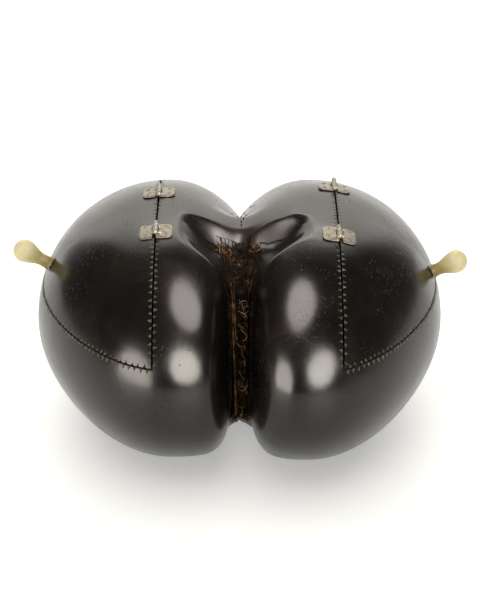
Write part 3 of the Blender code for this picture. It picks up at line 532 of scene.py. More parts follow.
def raw_inside_finish():
    """Inside of the shell: raw fibrous nut wood, warm brown, with darker streaks along the nut."""
    tree, shader, place = new_finish("raw_shell_inside", Roughness=0.86, Specular_IOR_Level=0.15)
    along = add(tree, "ShaderNodeMapping", {"Vector": place, "Scale": (1.0, 0.18, 1.0)}).outputs[0]
    streak = add(tree, "ShaderNodeTexNoise", {"Vector": along, "Scale": 210.0, "Detail": 7.0, "Roughness": 0.7,
                                              "Distortion": 0.4}).outputs["Fac"]
    stops = ((0.28, "#22150c"), (0.50, "#4b3220"), (0.74, "#7a5a3c"))
    grained(tree, shader, streak, streak, stops, 0.7, 0.0008)


def hinge_finish(name, light, dark, rough):
    """Old nickelled brass: pale warm grey and, in random patches of tarnish, browner and duller."""
    tree, shader, place = new_finish(name, Metallic=0.72)
    tarnish = add(tree, "ShaderNodeTexNoise", {"Vector": place, "Scale": 330.0, "Detail": 5.0,
                                               "Roughness": 0.6}).outputs["Fac"]
    spread = add(tree, "ShaderNodeMath", {0: tarnish, 1: -0.35, 2: rough + 0.18}, operation="MULTIPLY_ADD")
    tree.links.new(spread.outputs[0], shader.inputs["Roughness"])
    grained(tree, shader, tarnish, tarnish, ((0.30, dark), (0.50, light), (0.80, light)), 0.35, 0.0003)


def bone_finish():
    """Turned bone: cream with a yellow cast and fine pores, browned towards the foot by painted shade where the
    knob meets the shell.
    """
    tree, shader, place = new_finish("waxed_turned_bone", Specular_IOR_Level=0.20, Subsurface_Weight=0.12,
                                     Subsurface_Scale=0.002)
    # The tone attribute holds painted shade: dark at the foot, pale at the top of the ball
    tone = add(tree, "ShaderNodeAttribute", attribute_name="tone").outputs["Fac"]
    pores = add(tree, "ShaderNodeTexNoise", {"Vector": place, "Scale": 300.0, "Detail": 5.0}).outputs["Fac"]
    mixed = add(tree, "ShaderNodeMath", {0: pores, 1: 0.30, 2: tone}, operation="MULTIPLY_ADD").outputs[0]
    rough = add(tree, "ShaderNodeMath", {0: pores, 1: 0.2, 2: 0.36}, operation="MULTIPLY_ADD").outputs[0]
    tree.links.new(rough, shader.inputs["Roughness"])
    grained(tree, shader, mixed, pores,
            ((0.15, "#7d6c3c"), (0.36, "#a8985c"), (0.62, "#cfc28a"), (0.95, "#ebe2b8")), 0.15, 0.0002)


def fibre_finish():
    """Husk fibre: dry and matt, from almost black in the mat to fox brown and straw on the loose strands."""
    tree, shader, place = new_finish("dry_husk_fibre", Roughness=0.85, Specular_IOR_Level=0.06)
    tone = add(tree, "ShaderNodeAttribute", attribute_name="tone").outputs["Fac"]
    patch = add(tree, "ShaderNodeTexNoise", {"Vector": place, "Scale": 170.0, "Detail": 4.0}).outputs["Fac"]
    mixed = add(tree, "ShaderNodeMath", {0: patch, 1: 0.60, 2: tone}, operation="MULTIPLY_ADD").outputs[0]
    grained(tree, shader, mixed, patch, ((0.20, "#070504"), (0.42, "#1a130c"), (0.64, "#463524"),
                                         (0.84, "#a06a38"), (1.0, "#d2b48c")), 0.6, 0.0006)


def plain_finish(name, colour, roughness, glow):
    """A plain studio surface lit a little from behind, for the stage alone."""
    new_finish(name, Base_Color=(*colour, 1.0), Roughness=roughness, Emission_Color=(*colour, 1.0),
               Emission_Strength=glow)
    return finish(name)


def finish(name):
    """A finish by its name, made once by the operator that lays them out."""
    return bpy.data.materials[name]


def link(name, mesh, materials):
    """A mesh as an object of the scene, with its finishes."""
    piece = bpy.data.objects.new(name, mesh)
    for material in materials:
        mesh.materials.append(material)
    bpy.context.scene.collection.objects.link(piece)
    return piece


def settle(piece, body, nodes):
    """Put a finished piece under the body that carries it, and hide the solids that it stands for."""
    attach(piece, body)
    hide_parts(*nodes)


def to_part(mesh):
    """Move a mesh from the nut's frame to the part's frame."""
    points = values_of(mesh.vertices, "co", 3) + NUT_CENTRE
    mesh.vertices.foreach_set("co", points.ravel())
    mesh.update()
    return mesh


def carve(piece, steps):
    """Apply a list of (operation, cutter mesh) Booleans, whose cuts take the cutter's finish, and drop the
    cutters."""
    cutters = []
    for number, (operation, mesh) in enumerate(steps):
        cutter = bpy.data.objects.new(f"cutter_{number}", mesh)
        bpy.context.scene.collection.objects.link(cutter)
        boolean = piece.modifiers.new(f"step_{number}", "BOOLEAN")
        boolean.operation = operation
        boolean.solver = "MANIFOLD"
        boolean.object = cutter
        boolean.material_mode = "TRANSFER"
        cutters.append(cutter)
    bpy.context.view_layer.update()
    depsgraph = bpy.context.evaluated_depsgraph_get()
    carved = bpy.data.meshes.new_from_object(piece.evaluated_get(depsgraph))
    piece.modifiers.clear()
    piece.data = carved
    for cutter in cutters:
        bpy.data.objects.remove(cutter)


def box_surface(low, high):
    """A box between two opposite corners, given in any order."""
    low, high = np.minimum(low, high), np.maximum(low, high)
    corners = np.array([(x, y, z) for z in (0, 1) for y in (0, 1) for x in (0, 1)], float)
    faces = [(0, 2, 3, 1), (4, 5, 7, 6), (0, 1, 5, 4), (2, 6, 7, 3), (0, 4, 6, 2), (1, 3, 7, 5)]
    return mesh_from("box", low + corners * (high - low), (faces,))


def lid_block(side, spare):
    """Corner block over one lid, grown past the saw cut's middle planes by spare."""
    return box_surface(np.array((CUT_X[side] - side * spare, -0.2, CUT_Z - spare)),
                       np.array((side * 0.2, 0.2, 0.2)))


def with_finish(mesh, material):
    """A mesh that carries a finish into the Boolean that it cuts."""
    mesh.materials.append(material)
    return mesh


def rim_line(side, vertical):
    """Where a saw cut's middle plane meets the outside: rays fan out half a turn from a point in the plane, and
    the points come with their distance along the line and the direction across the cut."""
    angle = np.linspace(0.0, np.pi, 1400)
    eye = np.array((CUT_X[side], MIDDLE_Y, CUT_Z))
    out = np.array((0.0, 0.0, 1.0)) if vertical else np.array((float(side), 0.0, 0.0))
    ways = -np.cos(angle)[:, None] * np.array((0.0, 1.0, 0.0)) + np.sin(angle)[:, None] * out
    length = ray_hits(nut_field, np.broadcast_to(eye, ways.shape), ways, 0.25)
    points = eye + length[:, None] * ways
    far = np.concatenate(([0.0], np.cumsum(np.linalg.norm(np.diff(points, axis=0), axis=-1))))
    across = np.array((float(side), 0.0, 0.0)) if vertical else np.array((0.0, 0.0, 1.0))
    return points, far, across


def nick_cutters(settings, rng):
    """Three-sided wedges along both sides of every saw cut: a base on the cut, a point about a nick's length
    away on the skin and a root under the base, so each leaves a V-shaped nick that is deepest at the cut. None
    comes near a hinge leaf."""
    corners = []
    for side in SIDES.values():
        for vertical in (True, False):
            points, far, across = rim_line(side, vertical)
            pitch = settings.nick_pitch if vertical else 0.84 * settings.nick_pitch
            for facing_way in (-1.0, 1.0):
                at = np.arange(3.2 * MM + (facing_way > 0) * 0.5 * pitch, far[-1] - 3.0 * MM, pitch)
                at = at + rng.normal(0.0, 0.07 * pitch, len(at))
                middle, beyond = (np.stack([np.interp(along, far, points[:, k]) for k in range(3)], axis=-1)
                                  for along in (at, at + 0.5 * MM))
                ahead = beyond - middle
                ahead /= np.linalg.norm(ahead, axis=-1, keepdims=True)
                if vertical:
                    clear = np.ones(len(at), bool)
                    for hinge_y in HINGE_YS[side]:
                        clear &= np.abs(middle[:, 1] - hinge_y) > LEAF_HALF_LENGTH + 1.5 * MM
                    middle, ahead = middle[clear], ahead[clear]
                count = len(middle)
                normal = gradient(nut_field, middle)
                over = facing_way * across - normal * (normal @ (facing_way * across))[:, None]
                over /= np.linalg.norm(over, axis=-1, keepdims=True)
                half = settings.nick_size * rng.uniform(0.55, 0.74, (count, 1))
                reach = settings.nick_size * rng.uniform(1.0, 1.4, (count, 1)) + 0.5 * SAW_GAP
                lean = rng.normal(0.0, 0.2, (count, 1)) * half
                # How far the scraped skin lies under the smooth form, over which the wedge stands a little
                sunk = (skin_field(*middle.T) - nut_field(*middle.T))[:, None]
                lift = 0.14 * MM - sunk
                a = middle - half * ahead + lift * normal
                b = middle + half * ahead + lift * normal
                c = middle + lean * ahead + reach * over + lift * normal
                d = middle + 0.30 * reach * over - (1.0 * MM + sunk) * normal
                corners.append(np.stack((a, b, c, d), axis=1))
    return wedge_mesh("nicks", np.concatenate(corners))


def wedge_mesh(name, corners):
    """Separate four-cornered wedges in one mesh, each turned to face outwards."""
    a, b, c, d = (corners[:, k] for k in range(4))
    inward = np.einsum("ij,ij->i", np.cross(b - a, c - a), d - a) > 0
    corners[inward] = corners[inward][:, (1, 0, 2, 3)]
    one = np.array(((0, 1, 2), (0, 3, 1), (1, 3, 2), (2, 3, 0)))
    faces = (one[None] + 4 * np.arange(len(corners))[:, None, None]).reshape(-1, 3)
    return mesh_from(name, corners.reshape(-1, 3), (faces,))


def notch_cutters(rng):
    """The split at the back notch, with a ragged median crack and pits sunk in the isthmus, and the creases of
    the hollow's arms, all as thin wedges. The crack starts from the brow, the highest place to the camera."""
    y = np.linspace(-0.02, 0.14, 800)
    height = top_height(np.full_like(y, 0.0006), y)
    brow = y[np.argmax(height * math.cos(CAMERA_TILT) + y * math.sin(CAMERA_TILT))]
    corners = []
    for number in range(15):
        start = brow + 0.004 - 0.0060 * number
        x = 0.0008 + rng.normal(0.0, 0.0006)
        corners.append(crack_wedge((x, start), (x + rng.normal(0.0, 0.0008), start - 0.0072), 0.0007, 0.0014))
    for number in range(44):
        spread = rng.normal(0.0, 0.0062)
        start = np.array((0.0008 + spread, brow - 0.050 * rng.uniform(0.0, 1.0) ** 1.4))
        turn = rng.uniform(-0.6, 0.6)
        length = rng.uniform(0.0030, 0.0080)
        end = start + length * np.array((math.sin(turn), -math.cos(turn)))
        corners.append(crack_wedge(start, end, rng.uniform(0.0006, 0.0011), 0.0012))
    # Creases in the hollow's arms: chains of slivers from near the cleft outwards
    for side, near, far, first, last in ((1, 0.009, 0.041, -0.0135, -0.0190),
                                         (1, 0.015, 0.037, -0.0205, -0.0260),
                                         (-1, 0.008, 0.029, -0.0125, -0.0140),
                                         (-1, 0.013, 0.033, -0.0195, -0.0250)):
        share = np.linspace(0.0, 1.0, 8)
        x = side * (near + (far - near) * share)
        y = first + (last - first) * share + 0.0012 * np.sin(3.0 * share) + rng.normal(0.0, 0.0003, 8)
        for k in range(5):
            corners.append(crack_wedge((x[k], y[k]), (x[k + 2] + 0.002 * side, y[k + 2]), 0.0009, 0.0011))
    return wedge_mesh("cracks", np.array(corners))


def crack_wedge(start, end, half, depth):
    """One sliver from start to end in plan: two corners a half width to each side of the start and a point at
    the end, all a little over the skin, and a root under the middle at its depth."""
    start, end = np.asarray(start, float), np.asarray(end, float)
    ahead = (end - start) / np.linalg.norm(end - start)
    side = np.array((-ahead[1], ahead[0]))
    plan = np.stack((start - half * side, start + half * side, end, start + 0.45 * (end - start)))
    height = top_height(plan[:, 0], plan[:, 1], skin_field)
    lift = np.array((1.0, 1.0, 1.0, 0.0)) * 0.2 * MM - np.array((0.0, 0.0, 0.0, 1.0)) * depth
    return np.column_stack((plan, height + lift))


def shade(mesh, angle):
    """Smooth shading, with edges kept sharp from an angle in degrees."""
    mesh.shade_smooth()
    mesh.set_sharp_from_angle(angle=math.radians(angle))
    return mesh


def smooth_skin(mesh, skin_index, inside_index):
    """Give faces of the skin and the inside the true normals of their formulas, so that cuts don't pull their
    reflections. A face that leans far from its formula keeps its own."""
    mesh.shade_smooth()
    vertex_of = values_of(mesh.loops, "vertex_index", 1, np.int64)
    points = values_of(mesh.vertices, "co", 3)
    flat = values_of(mesh.polygons, "normal", 3)
    index = values_of(mesh.polygons, "material_index", 1, np.int64)
    sides = values_of(mesh.polygons, "loop_total", 1, np.int64)
    face_of = np.repeat(np.arange(len(mesh.polygons)), sides)
    normals = flat[face_of].copy()
    for wanted, field, sign in ((skin_index, skin_field, 1.0), (inside_index, cavity_field, -1.0)):
        true = sign * gradient(field, points - NUT_CENTRE)
        chosen = index[face_of] == wanted
        chosen &= np.einsum("ij,ij->i", true[vertex_of], flat[face_of]) > 0.80
        normals[chosen] = true[vertex_of[chosen]]
    mesh.normals_split_custom_set(normals.tolist())


class NutBoxSettings(bpy.types.PropertyGroup):
    """Sizes that a user may change before the pieces are made again."""

    nick_size: bpy.props.FloatProperty(name="Nick size", description="Length of one carved nick",
                                       default=2.7 * MM, min=0.5 * MM, max=5.0 * MM, unit="LENGTH")
    nick_pitch: bpy.props.FloatProperty(name="Nick spacing", description="Distance from one nick to the next",
                                        default=5.5 * MM, min=2.0 * MM, max=20.0 * MM, unit="LENGTH")
    strand_count: bpy.props.IntProperty(name="Loose fibres", default=620, min=50, max=4000,
                                        description="Number of fibres in the hollow's tangle")
    strand_radius: bpy.props.FloatProperty(name="Fibre radius", description="Half the thickness of one fibre",
                                           default=0.26 * MM, min=0.05 * MM, max=1.0 * MM, unit="LENGTH")
    floor_colour: bpy.props.FloatVectorProperty(name="Floor", description="Colour of the studio floor",
                                                default=linear("#f4f4f3"), subtype="COLOR", size=3)


class NUTBOX_OT_finishes(bpy.types.Operator):
    """Make the finishes of the shell, hinges, knobs and fibre"""

    bl_idname = "nutbox.finishes"
    bl_label = "Finishes"

    def execute(self, context):
        """Make each finish once; the pieces find them by name."""
        polished_shell_finish()
        # Fresh-cut shell in the saw cuts: grey-brown with dust and wax left in it
        dry_cut_finish("sawn_shell_edge", 0.75, 420.0, 5.0,
                       ((0.32, "#1b130d"), (0.52, "#3a2d22"), (0.72, "#5b4b3c")), 0.5, 0.0004)
        # Knife nicks round the lids: pale, partly wax and dust in them and partly a painted highlight on their
        # facets
        dry_cut_finish("nick_dust_and_painted_highlight", 0.62, 500.0, 4.0,
                       ((0.30, "#2a241c"), (0.50, "#5a5144"), (0.72, "#8a8172")), 0.4, 0.0003)
        # Dirt that fills the cracks and pits of the shell
        new_finish("dirt_in_cracks", Base_Color=(*linear("#0d0a07"), 1.0), Roughness=0.9,
                   Specular_IOR_Level=0.05)
        raw_inside_finish()
        hinge_finish("tarnished_nickel_sheet", "#8f887b", "#5f5747", 0.44)
        hinge_finish("tarnished_nail", "#786f61", "#4b4236", 0.42)
        bone_finish()
        fibre_finish()
        return {"FINISHED"}


class NUTBOX_OT_shell(bpy.types.Operator):
    """Make the carved shell and the two lids"""

    bl_idname = "nutbox.shell"
    bl_label = "Shell and lids"

    def execute(self, context):
        """Cut the body and each lid out of copies of one outside."""
        settings = context.scene.nut_box
        rng = np.random.default_rng(11)
        skins = [finish(name) for name in ("polished_nut_shell", "raw_shell_inside", "sawn_shell_edge",
                                           "nick_dust_and_painted_highlight")]
        polished, raw, sawn, nick = skins
        outer = nut_surface("outer", skin_field, OUTER_RAYS, OUTER_RINGS)
        cavity = with_finish(nut_surface("cavity", cavity_field, CAVITY_RAYS, CAVITY_RINGS), raw)
        nicks = with_finish(nick_cutters(settings, rng), nick)
        cracks = with_finish(notch_cutters(rng), finish("dirt_in_cracks"))
        blocks = [with_finish(lid_block(side, 0.5 * SAW_GAP), sawn) for side in SIDES.values()]
        ground = box_surface(np.array((-0.2, -0.2, -0.2)), np.array((0.2, 0.2, FLAT_DEPTH - THICK_BELOW)))
        ground = with_finish(ground, polished)
        shell = link("seed_shell_carved", outer.copy(), [polished])
        carve(shell, [("DIFFERENCE", blocks[0]), ("DIFFERENCE", blocks[1]), ("DIFFERENCE", cavity.copy()),
                      ("DIFFERENCE", ground), ("DIFFERENCE", cracks), ("DIFFERENCE", nicks.copy())])
        self.finish_shell(shell, "seed", ["seed_shell"])
        for name, side in SIDES.items():
            lid = link(f"lid_{name}_carved", outer.copy(), [polished])
            block = with_finish(lid_block(side, -0.5 * SAW_GAP), sawn)
            point, outward = knob_seat(side)
            bore = turned_surface("bore", [(-0.02, TENON_R + 0.2 * MM), (0.01, TENON_R + 0.2 * MM)], 24,
                                  facing(point, outward))
            carve(lid, [("INTERSECT", block), ("DIFFERENCE", cavity.copy()),
                        ("DIFFERENCE", with_finish(bore, sawn)), ("DIFFERENCE", nicks.copy())])
            self.finish_shell(lid, f"{name}_lid", [f"lid_{name}"])
        return {"FINISHED"}

    def finish_shell(self, piece, body, nodes):
        """Move a carved piece to the part's frame, smooth its skin and say what it stands for."""
        names = [material.name for material in piece.data.materials]
        to_part(piece.data)
        smooth_skin(piece.data, names.index("polished_nut_shell"), names.index("raw_shell_inside"))
        settle(piece, body, nodes)


def knob_seat(side):
    """Point on a lid where its knob stands, and the direction square to the shell there."""
    origin = np.array((side * CREST_X, KNOB_Y[side], KNOB_Z[side]))
    way = np.array((float(side), 0.0, 0.0))
    point = origin + ray_hits(nut_field, origin[None], way[None], 0.15)[0] * way
    return point, gradient(nut_field, point[None])[0]


def facing(point, outward):
    """A place whose Z runs along a direction."""
    side = np.cross((0.0, 1.0, 0.0), outward)
    side /= np.linalg.norm(side)
    return placed(point, side, np.cross(outward, side), outward)


class NUTBOX_OT_knobs(bpy.types.Operator):
    """Make the two turned bone knobs"""

    bl_idname = "nutbox.knobs"
    bl_label = "Knobs"

    def execute(self, context):
        """Turn each knob in place and darken it towards its foot with painted shade."""
        for name, side in SIDES.items():
            point, outward = knob_seat(side)
            profile = knob_profile(KNOB_REACH[side])
            mesh = turned_surface("knob", profile, 72, facing(point, outward))
            piece = link(f"knob_{name}_turned", to_part(shade(mesh, 40.0)), [finish("waxed_turned_bone")])
            height = (values_of(mesh.vertices, "co", 3) - NUT_CENTRE - point) @ outward
            # Painted shade: the tone runs from dark at the foot to pale at the top of the ball
            paint_tone(mesh, 0.05 + 0.62 * smoothstep((height - 1.0 * MM) / (0.95 * KNOB_REACH[side])))
            settle(piece, f"{name}_lid", [f"knob_{name}"])
        return {"FINISHED"}


def knob_profile(reach):
    """A knob from its tenon to its top: a slightly flared foot with a turned line, then a pear that swells from
    the neck to the ball."""
    ball_r, neck_r, foot_r = 8.3 * MM, 4.3 * MM, 5.3 * MM
    top = reach + ball_r
    height = 0.5 * MM + (top - 0.5 * MM) * np.sin(0.5 * np.pi * np.linspace(0.0, 1.0, 90))
    ball = np.sqrt(np.maximum(0.0, ball_r ** 2 - (height - reach) ** 2))
    pear = neck_r + (ball_r - neck_r) * smoothstep((height - reach + 14.0 * MM) / (14.0 * MM))
    pear = pear + (foot_r - neck_r) * np.exp(-(height - 0.5 * MM) / (2.0 * MM))
    radius = np.where(height < reach, pear, ball)
    radius = radius - 0.12 * MM * np.exp(-((height - 3.0 * MM) / (0.3 * MM)) ** 2)
    radius[-1] = 0.02 * MM
    tenon = np.array(((-TENON_LENGTH, TENON_R), (-TENON_LENGTH + 0.2 * MM, TENON_R), (0.5 * MM, TENON_R)))
    return np.concatenate((tenon, np.column_stack((height, radius))))


def paint_tone(mesh, tone):
    """Store one value per point, from 0 dark to 1 pale, for a finish that follows the surface."""
    attribute = mesh.attributes.new("tone", "FLOAT", "POINT")
    attribute.data.foreach_set("value", np.asarray(tone, np.float32))


def leaf_surface(side, hinge_y, on_lid, rng):
    """One beaten sheet leaf: a grid in u away from the axis and v along it, its outer corners rounded, its top
    and bottom a thickness apart over the shell, its rim thinned and its inner end rising to the knuckles."""
    columns, rows = 34, 46
    s = np.linspace(0.0, 1.0, columns)[:, None]
    t = np.linspace(-1.0, 1.0, rows)[None, :]
    inner = np.where(np.abs(t) * LEAF_HALF_LENGTH < KNUCKLE_SPLIT + 0.5 * KNUCKLE_GAP,
                     LEAF_INNER if on_lid else LEAF_NOTCH, LEAF_NOTCH if on_lid else LEAF_INNER)
    u = inner + (LEAF_REACH - inner) * s
    corner = smoothstep((u - LEAF_REACH + 3.2 * MM) / (3.2 * MM)) ** 2
    v = t * (LEAF_HALF_LENGTH - 1.5 * MM * corner) + 0.12 * MM * np.sin(9.0 * s + 5.0 * t)
    u = u - 0.9 * MM * smoothstep((np.abs(t) - 0.70) / 0.30) * smoothstep((s - 0.6) / 0.4)
    outward = side if on_lid else -side
    x = CUT_X[side] + outward * u
    y = hinge_y + v
    low = top_height(x, y) + SEAT_GAP
    edge = np.minimum(np.minimum(1.0 - s, s + 0.3), 0.5 * (1.0 - np.abs(t)) * 1.6)
    round_over = 0.35 * MM * (1.0 - smoothstep(edge / 0.09))
    dents = 0.06 * MM * np.sin(2.1 * u / MM + rng.uniform(0, 6)) * np.sin(1.3 * v / MM + rng.uniform(0, 6))
    high = low + LEAF_THICK - round_over + dents
    for nail_v in (-NAIL_V, NAIL_V):
        gone = np.hypot(u - NAIL_U, v - nail_v)
        high = high - 0.28 * MM * np.exp(-(gone / (1.5 * MM)) ** 2)
    web = HINGE_AXIS_Z[side] + 0.4 * MM
    held = inner == LEAF_INNER
    near = 1.0 - smoothstep((u - LEAF_INNER) / (2.6 * MM))
    high = np.where(held, high + np.maximum(web - high, 0.0) * near, high)
    top, bottom = (np.stack((x, np.broadcast_to(y, x.shape), z), axis=-1) for z in (high, low))
    return sheet_between("leaf", top, bottom)



def knuckle_surface(side, start, end):
    """One rolled knuckle: a hollow barrel along the axis with softened rims, a closed outline turned round."""
    length = end - start
    bevel = 0.22 * MM
    outline = np.array(((bevel, KNUCKLE_R), (length - bevel, KNUCKLE_R),
                        (length - 0.3 * bevel, KNUCKLE_R - 0.3 * bevel),
                        (length, KNUCKLE_R - bevel), (length, KNUCKLE_BORE_R), (0.0, KNUCKLE_BORE_R),
                        (0.0, KNUCKLE_R - bevel), (0.3 * bevel, KNUCKLE_R - 0.3 * bevel)))
    angle = np.linspace(0.0, 2.0 * np.pi, 28, endpoint=False)
    rings = np.stack((CUT_X[side] + outline[:, 1:] * np.cos(angle),
                      start + np.broadcast_to(outline[:, :1], (len(outline), len(angle))),
                      HINGE_AXIS_Z[side] + outline[:, 1:] * np.sin(angle)), axis=-1)
    rows = np.concatenate((rings, rings[:1]))
    faces = grid_faces(len(rows), len(angle), True) % (len(outline) * len(angle))
    return outward_faces(mesh_from("knuckle", rings.reshape(-1, 3), (faces,)))


class NUTBOX_OT_hinges(bpy.types.Operator):
    """Make the four butt hinges with their pins and nails"""

    bl_idname = "nutbox.hinges"
    bl_label = "Hinges"

    def execute(self, context):
        """Make two hinges for each lid."""
        rng = np.random.default_rng(23)
        for name, side in SIDES.items():
            for end, hinge_y in zip(ENDS, HINGE_YS[side]):
                self.leaf(name, side, end, hinge_y, True, rng)
                self.leaf(name, side, end, hinge_y, False, rng)
                self.pin(name, side, end, hinge_y)
        return {"FINISHED"}

    def leaf(self, name, side, end, hinge_y, on_lid, rng):
        """One leaf with its knuckles and its two nails, on the lid or on the body."""
        kind = "lid" if on_lid else "body"
        body = f"{name}_lid" if on_lid else "seed"
        inner = KNUCKLE_SPLIT + KNUCKLE_GAP
        spans = [(-LEAF_HALF_LENGTH, -inner), (inner, LEAF_HALF_LENGTH)]
        if on_lid:
            spans = [(-KNUCKLE_SPLIT, KNUCKLE_SPLIT)]
        piece = link(f"{kind}_leaf_{name}_{end}_beaten", leaf_surface(side, hinge_y, on_lid, rng),
                     [finish("tarnished_nickel_sheet")])
        carve(piece, [("UNION", knuckle_surface(side, hinge_y + a, hinge_y + b)) for a, b in spans])
        shade(to_part(piece.data), 35.0)
        settle(piece, body, [f"{kind}_leaf_{name}_{end}"])
        outward = side if on_lid else -side
        for number, v in enumerate((-NAIL_V, NAIL_V), start=1):
            x, y = CUT_X[side] + outward * NAIL_U, hinge_y + v
            seat = float(top_height(x, y)) + SEAT_GAP + LEAF_THICK - 0.15 * MM
            nail = turned_surface("nail", nail_profile(), 20,
                                  placed(np.array((x, y, seat)), (1, 0, 0), (0, 1, 0), (0, 0, 1)))
            head = link(f"{kind}_nail_{name}_{end}_{number}_round", to_part(shade(nail, 40.0)),
                        [finish("tarnished_nail")])
            settle(head, body, [f"{kind}_nail_{name}_{end}_{number}"])

    def pin(self, name, side, end, hinge_y):
        """The pin through one hinge's knuckles, its two ends hammered to low heads."""
        reach = LEAF_HALF_LENGTH + 0.5 * MM
        half = [(reach, PIN_R), (reach, 1.25 * MM), (reach + 0.2 * MM, 1.25 * MM),
                (reach + 0.45 * MM, 1.0 * MM), (reach + 0.6 * MM, 0.5 * MM)]
        profile = [(-height, radius) for height, radius in reversed(half)] + half
        place = placed(np.array((CUT_X[side], hinge_y, HINGE_AXIS_Z[side])), (1, 0, 0), (0, 0, -1), (0, 1, 0))
        mesh = outward_faces(turned_surface("pin", profile, 24, place))
        piece = link(f"pin_{name}_{end}_riveted", to_part(shade(mesh, 40.0)), [finish("tarnished_nail")])
        settle(piece, "seed", [f"pin_{name}_{end}"])


def nail_profile():
    """A hand-made nail: a low domed head, slightly flattened by the hammer, and a short shank."""
    share = np.linspace(0.0, 1.0, 10)
    turn = 0.5 * np.pi * share
    dome = np.column_stack((0.62 * MM * np.sin(turn) ** 0.8, 1.2 * MM * np.cos(turn)))
    dome[-1, 1] = 0.02 * MM
    shank = np.array(((-5.5, 0.1), (-4.6, 0.5), (-0.05, 0.5), (-0.05, 1.15))) * MM
    return np.concatenate((shank, dome))


def mat_way(place):
    """Start height of the ray for a place from 0 in the hollow to 1 down the cleft, and the way it faces: it
    turns from upwards to forwards in the first share, and then drops."""
    angle = MAT_TURN_START * np.clip(1.0 - place / MAT_TURN_SHARE, 0.0, 1.0)
    drop = -MAT_DROP * np.clip((place - MAT_TURN_SHARE) / (1.0 - MAT_TURN_SHARE), 0.0, 1.0)
    return drop, np.stack((np.zeros_like(angle), -np.cos(angle), np.sin(angle)), axis=-1)


def mat_ray(place, across):
    """Start and way of the ray for each place and distance across."""
    drop, way = mat_way(place)
    return np.stack((CLEFT_X + across, np.full_like(across, MAT_SPINE_Y), drop), axis=-1), way


def mat_reach(place, across):
    """How far the shell reaches along the ray of each place and distance across."""
    origins, way = mat_ray(place, across)
    return ray_hits(nut_field, origins, way, 0.2)


def mat_top(place):
    """Height of the mat's crown along each ray, over the middle of the valley."""
    ends = smoothstep(place / 0.10) * smoothstep((1.0 - place) / 0.06)
    high = 1.0 - smoothstep((place - 0.30) / 0.28)
    return mat_reach(place, np.zeros_like(place)) + 1.0 * MM + ends * (3.2 * MM + 2.4 * MM * high)


def ripple(u, v, rng):
    """Uneven height from about -1 to 1 over two lengths: crossed waves 2 to 9 mm long in random directions."""
    total = 0.0
    waves = (rng.uniform(0.0, 6.3, 12), rng.uniform(2.0, 9.0, 12) * MM, rng.uniform(0.0, 6.3, 12))
    for turn, size, phase in zip(*waves):
        total = total + np.sin(2.0 * np.pi * (u * np.cos(turn) + v * np.sin(turn)) / size + phase)
    return 0.35 * total


def mat_grid(rows, columns, rng):
    """The mat's outline: on each row about as wide as the valley that its thickness fills, with a torn edge."""
    place = np.linspace(0.03, 1.0, rows)
    top = mat_top(place)
    fan = np.linspace(0.0, 16.5 * MM, 80)
    spans = []
    for side in (-1.0, 1.0):
        reach = mat_reach(np.repeat(place[:, None], 80, 1), np.broadcast_to(side * fan, (rows, 80)).copy())
        below = np.cumprod(reach + 0.6 * MM < top[:, None], axis=1).sum(axis=1)
        torn = np.clip(0.80 + 0.20 * ripple(place * MAT_SCALE, side * np.full(rows, 0.05), rng), 0.55, 1.0)
        spans.append(side * np.maximum(torn * fan[np.clip(below, 0, 79)], 2.4 * MM))
    share = np.linspace(0.0, 1.0, columns)
    across = spans[0][:, None] + (spans[1] - spans[0])[:, None] * share
    grid_place = np.repeat(place[:, None], columns, 1)
    floor = mat_reach(grid_place, across) - 0.3 * MM
    return grid_place, across, floor, np.broadcast_to(top[:, None], across.shape), share


def mat_point(place, across, reach):
    """The point at a distance along the ray of each place and distance across."""
    origins, way = mat_ray(place, across)
    return origins + reach[..., None] * way


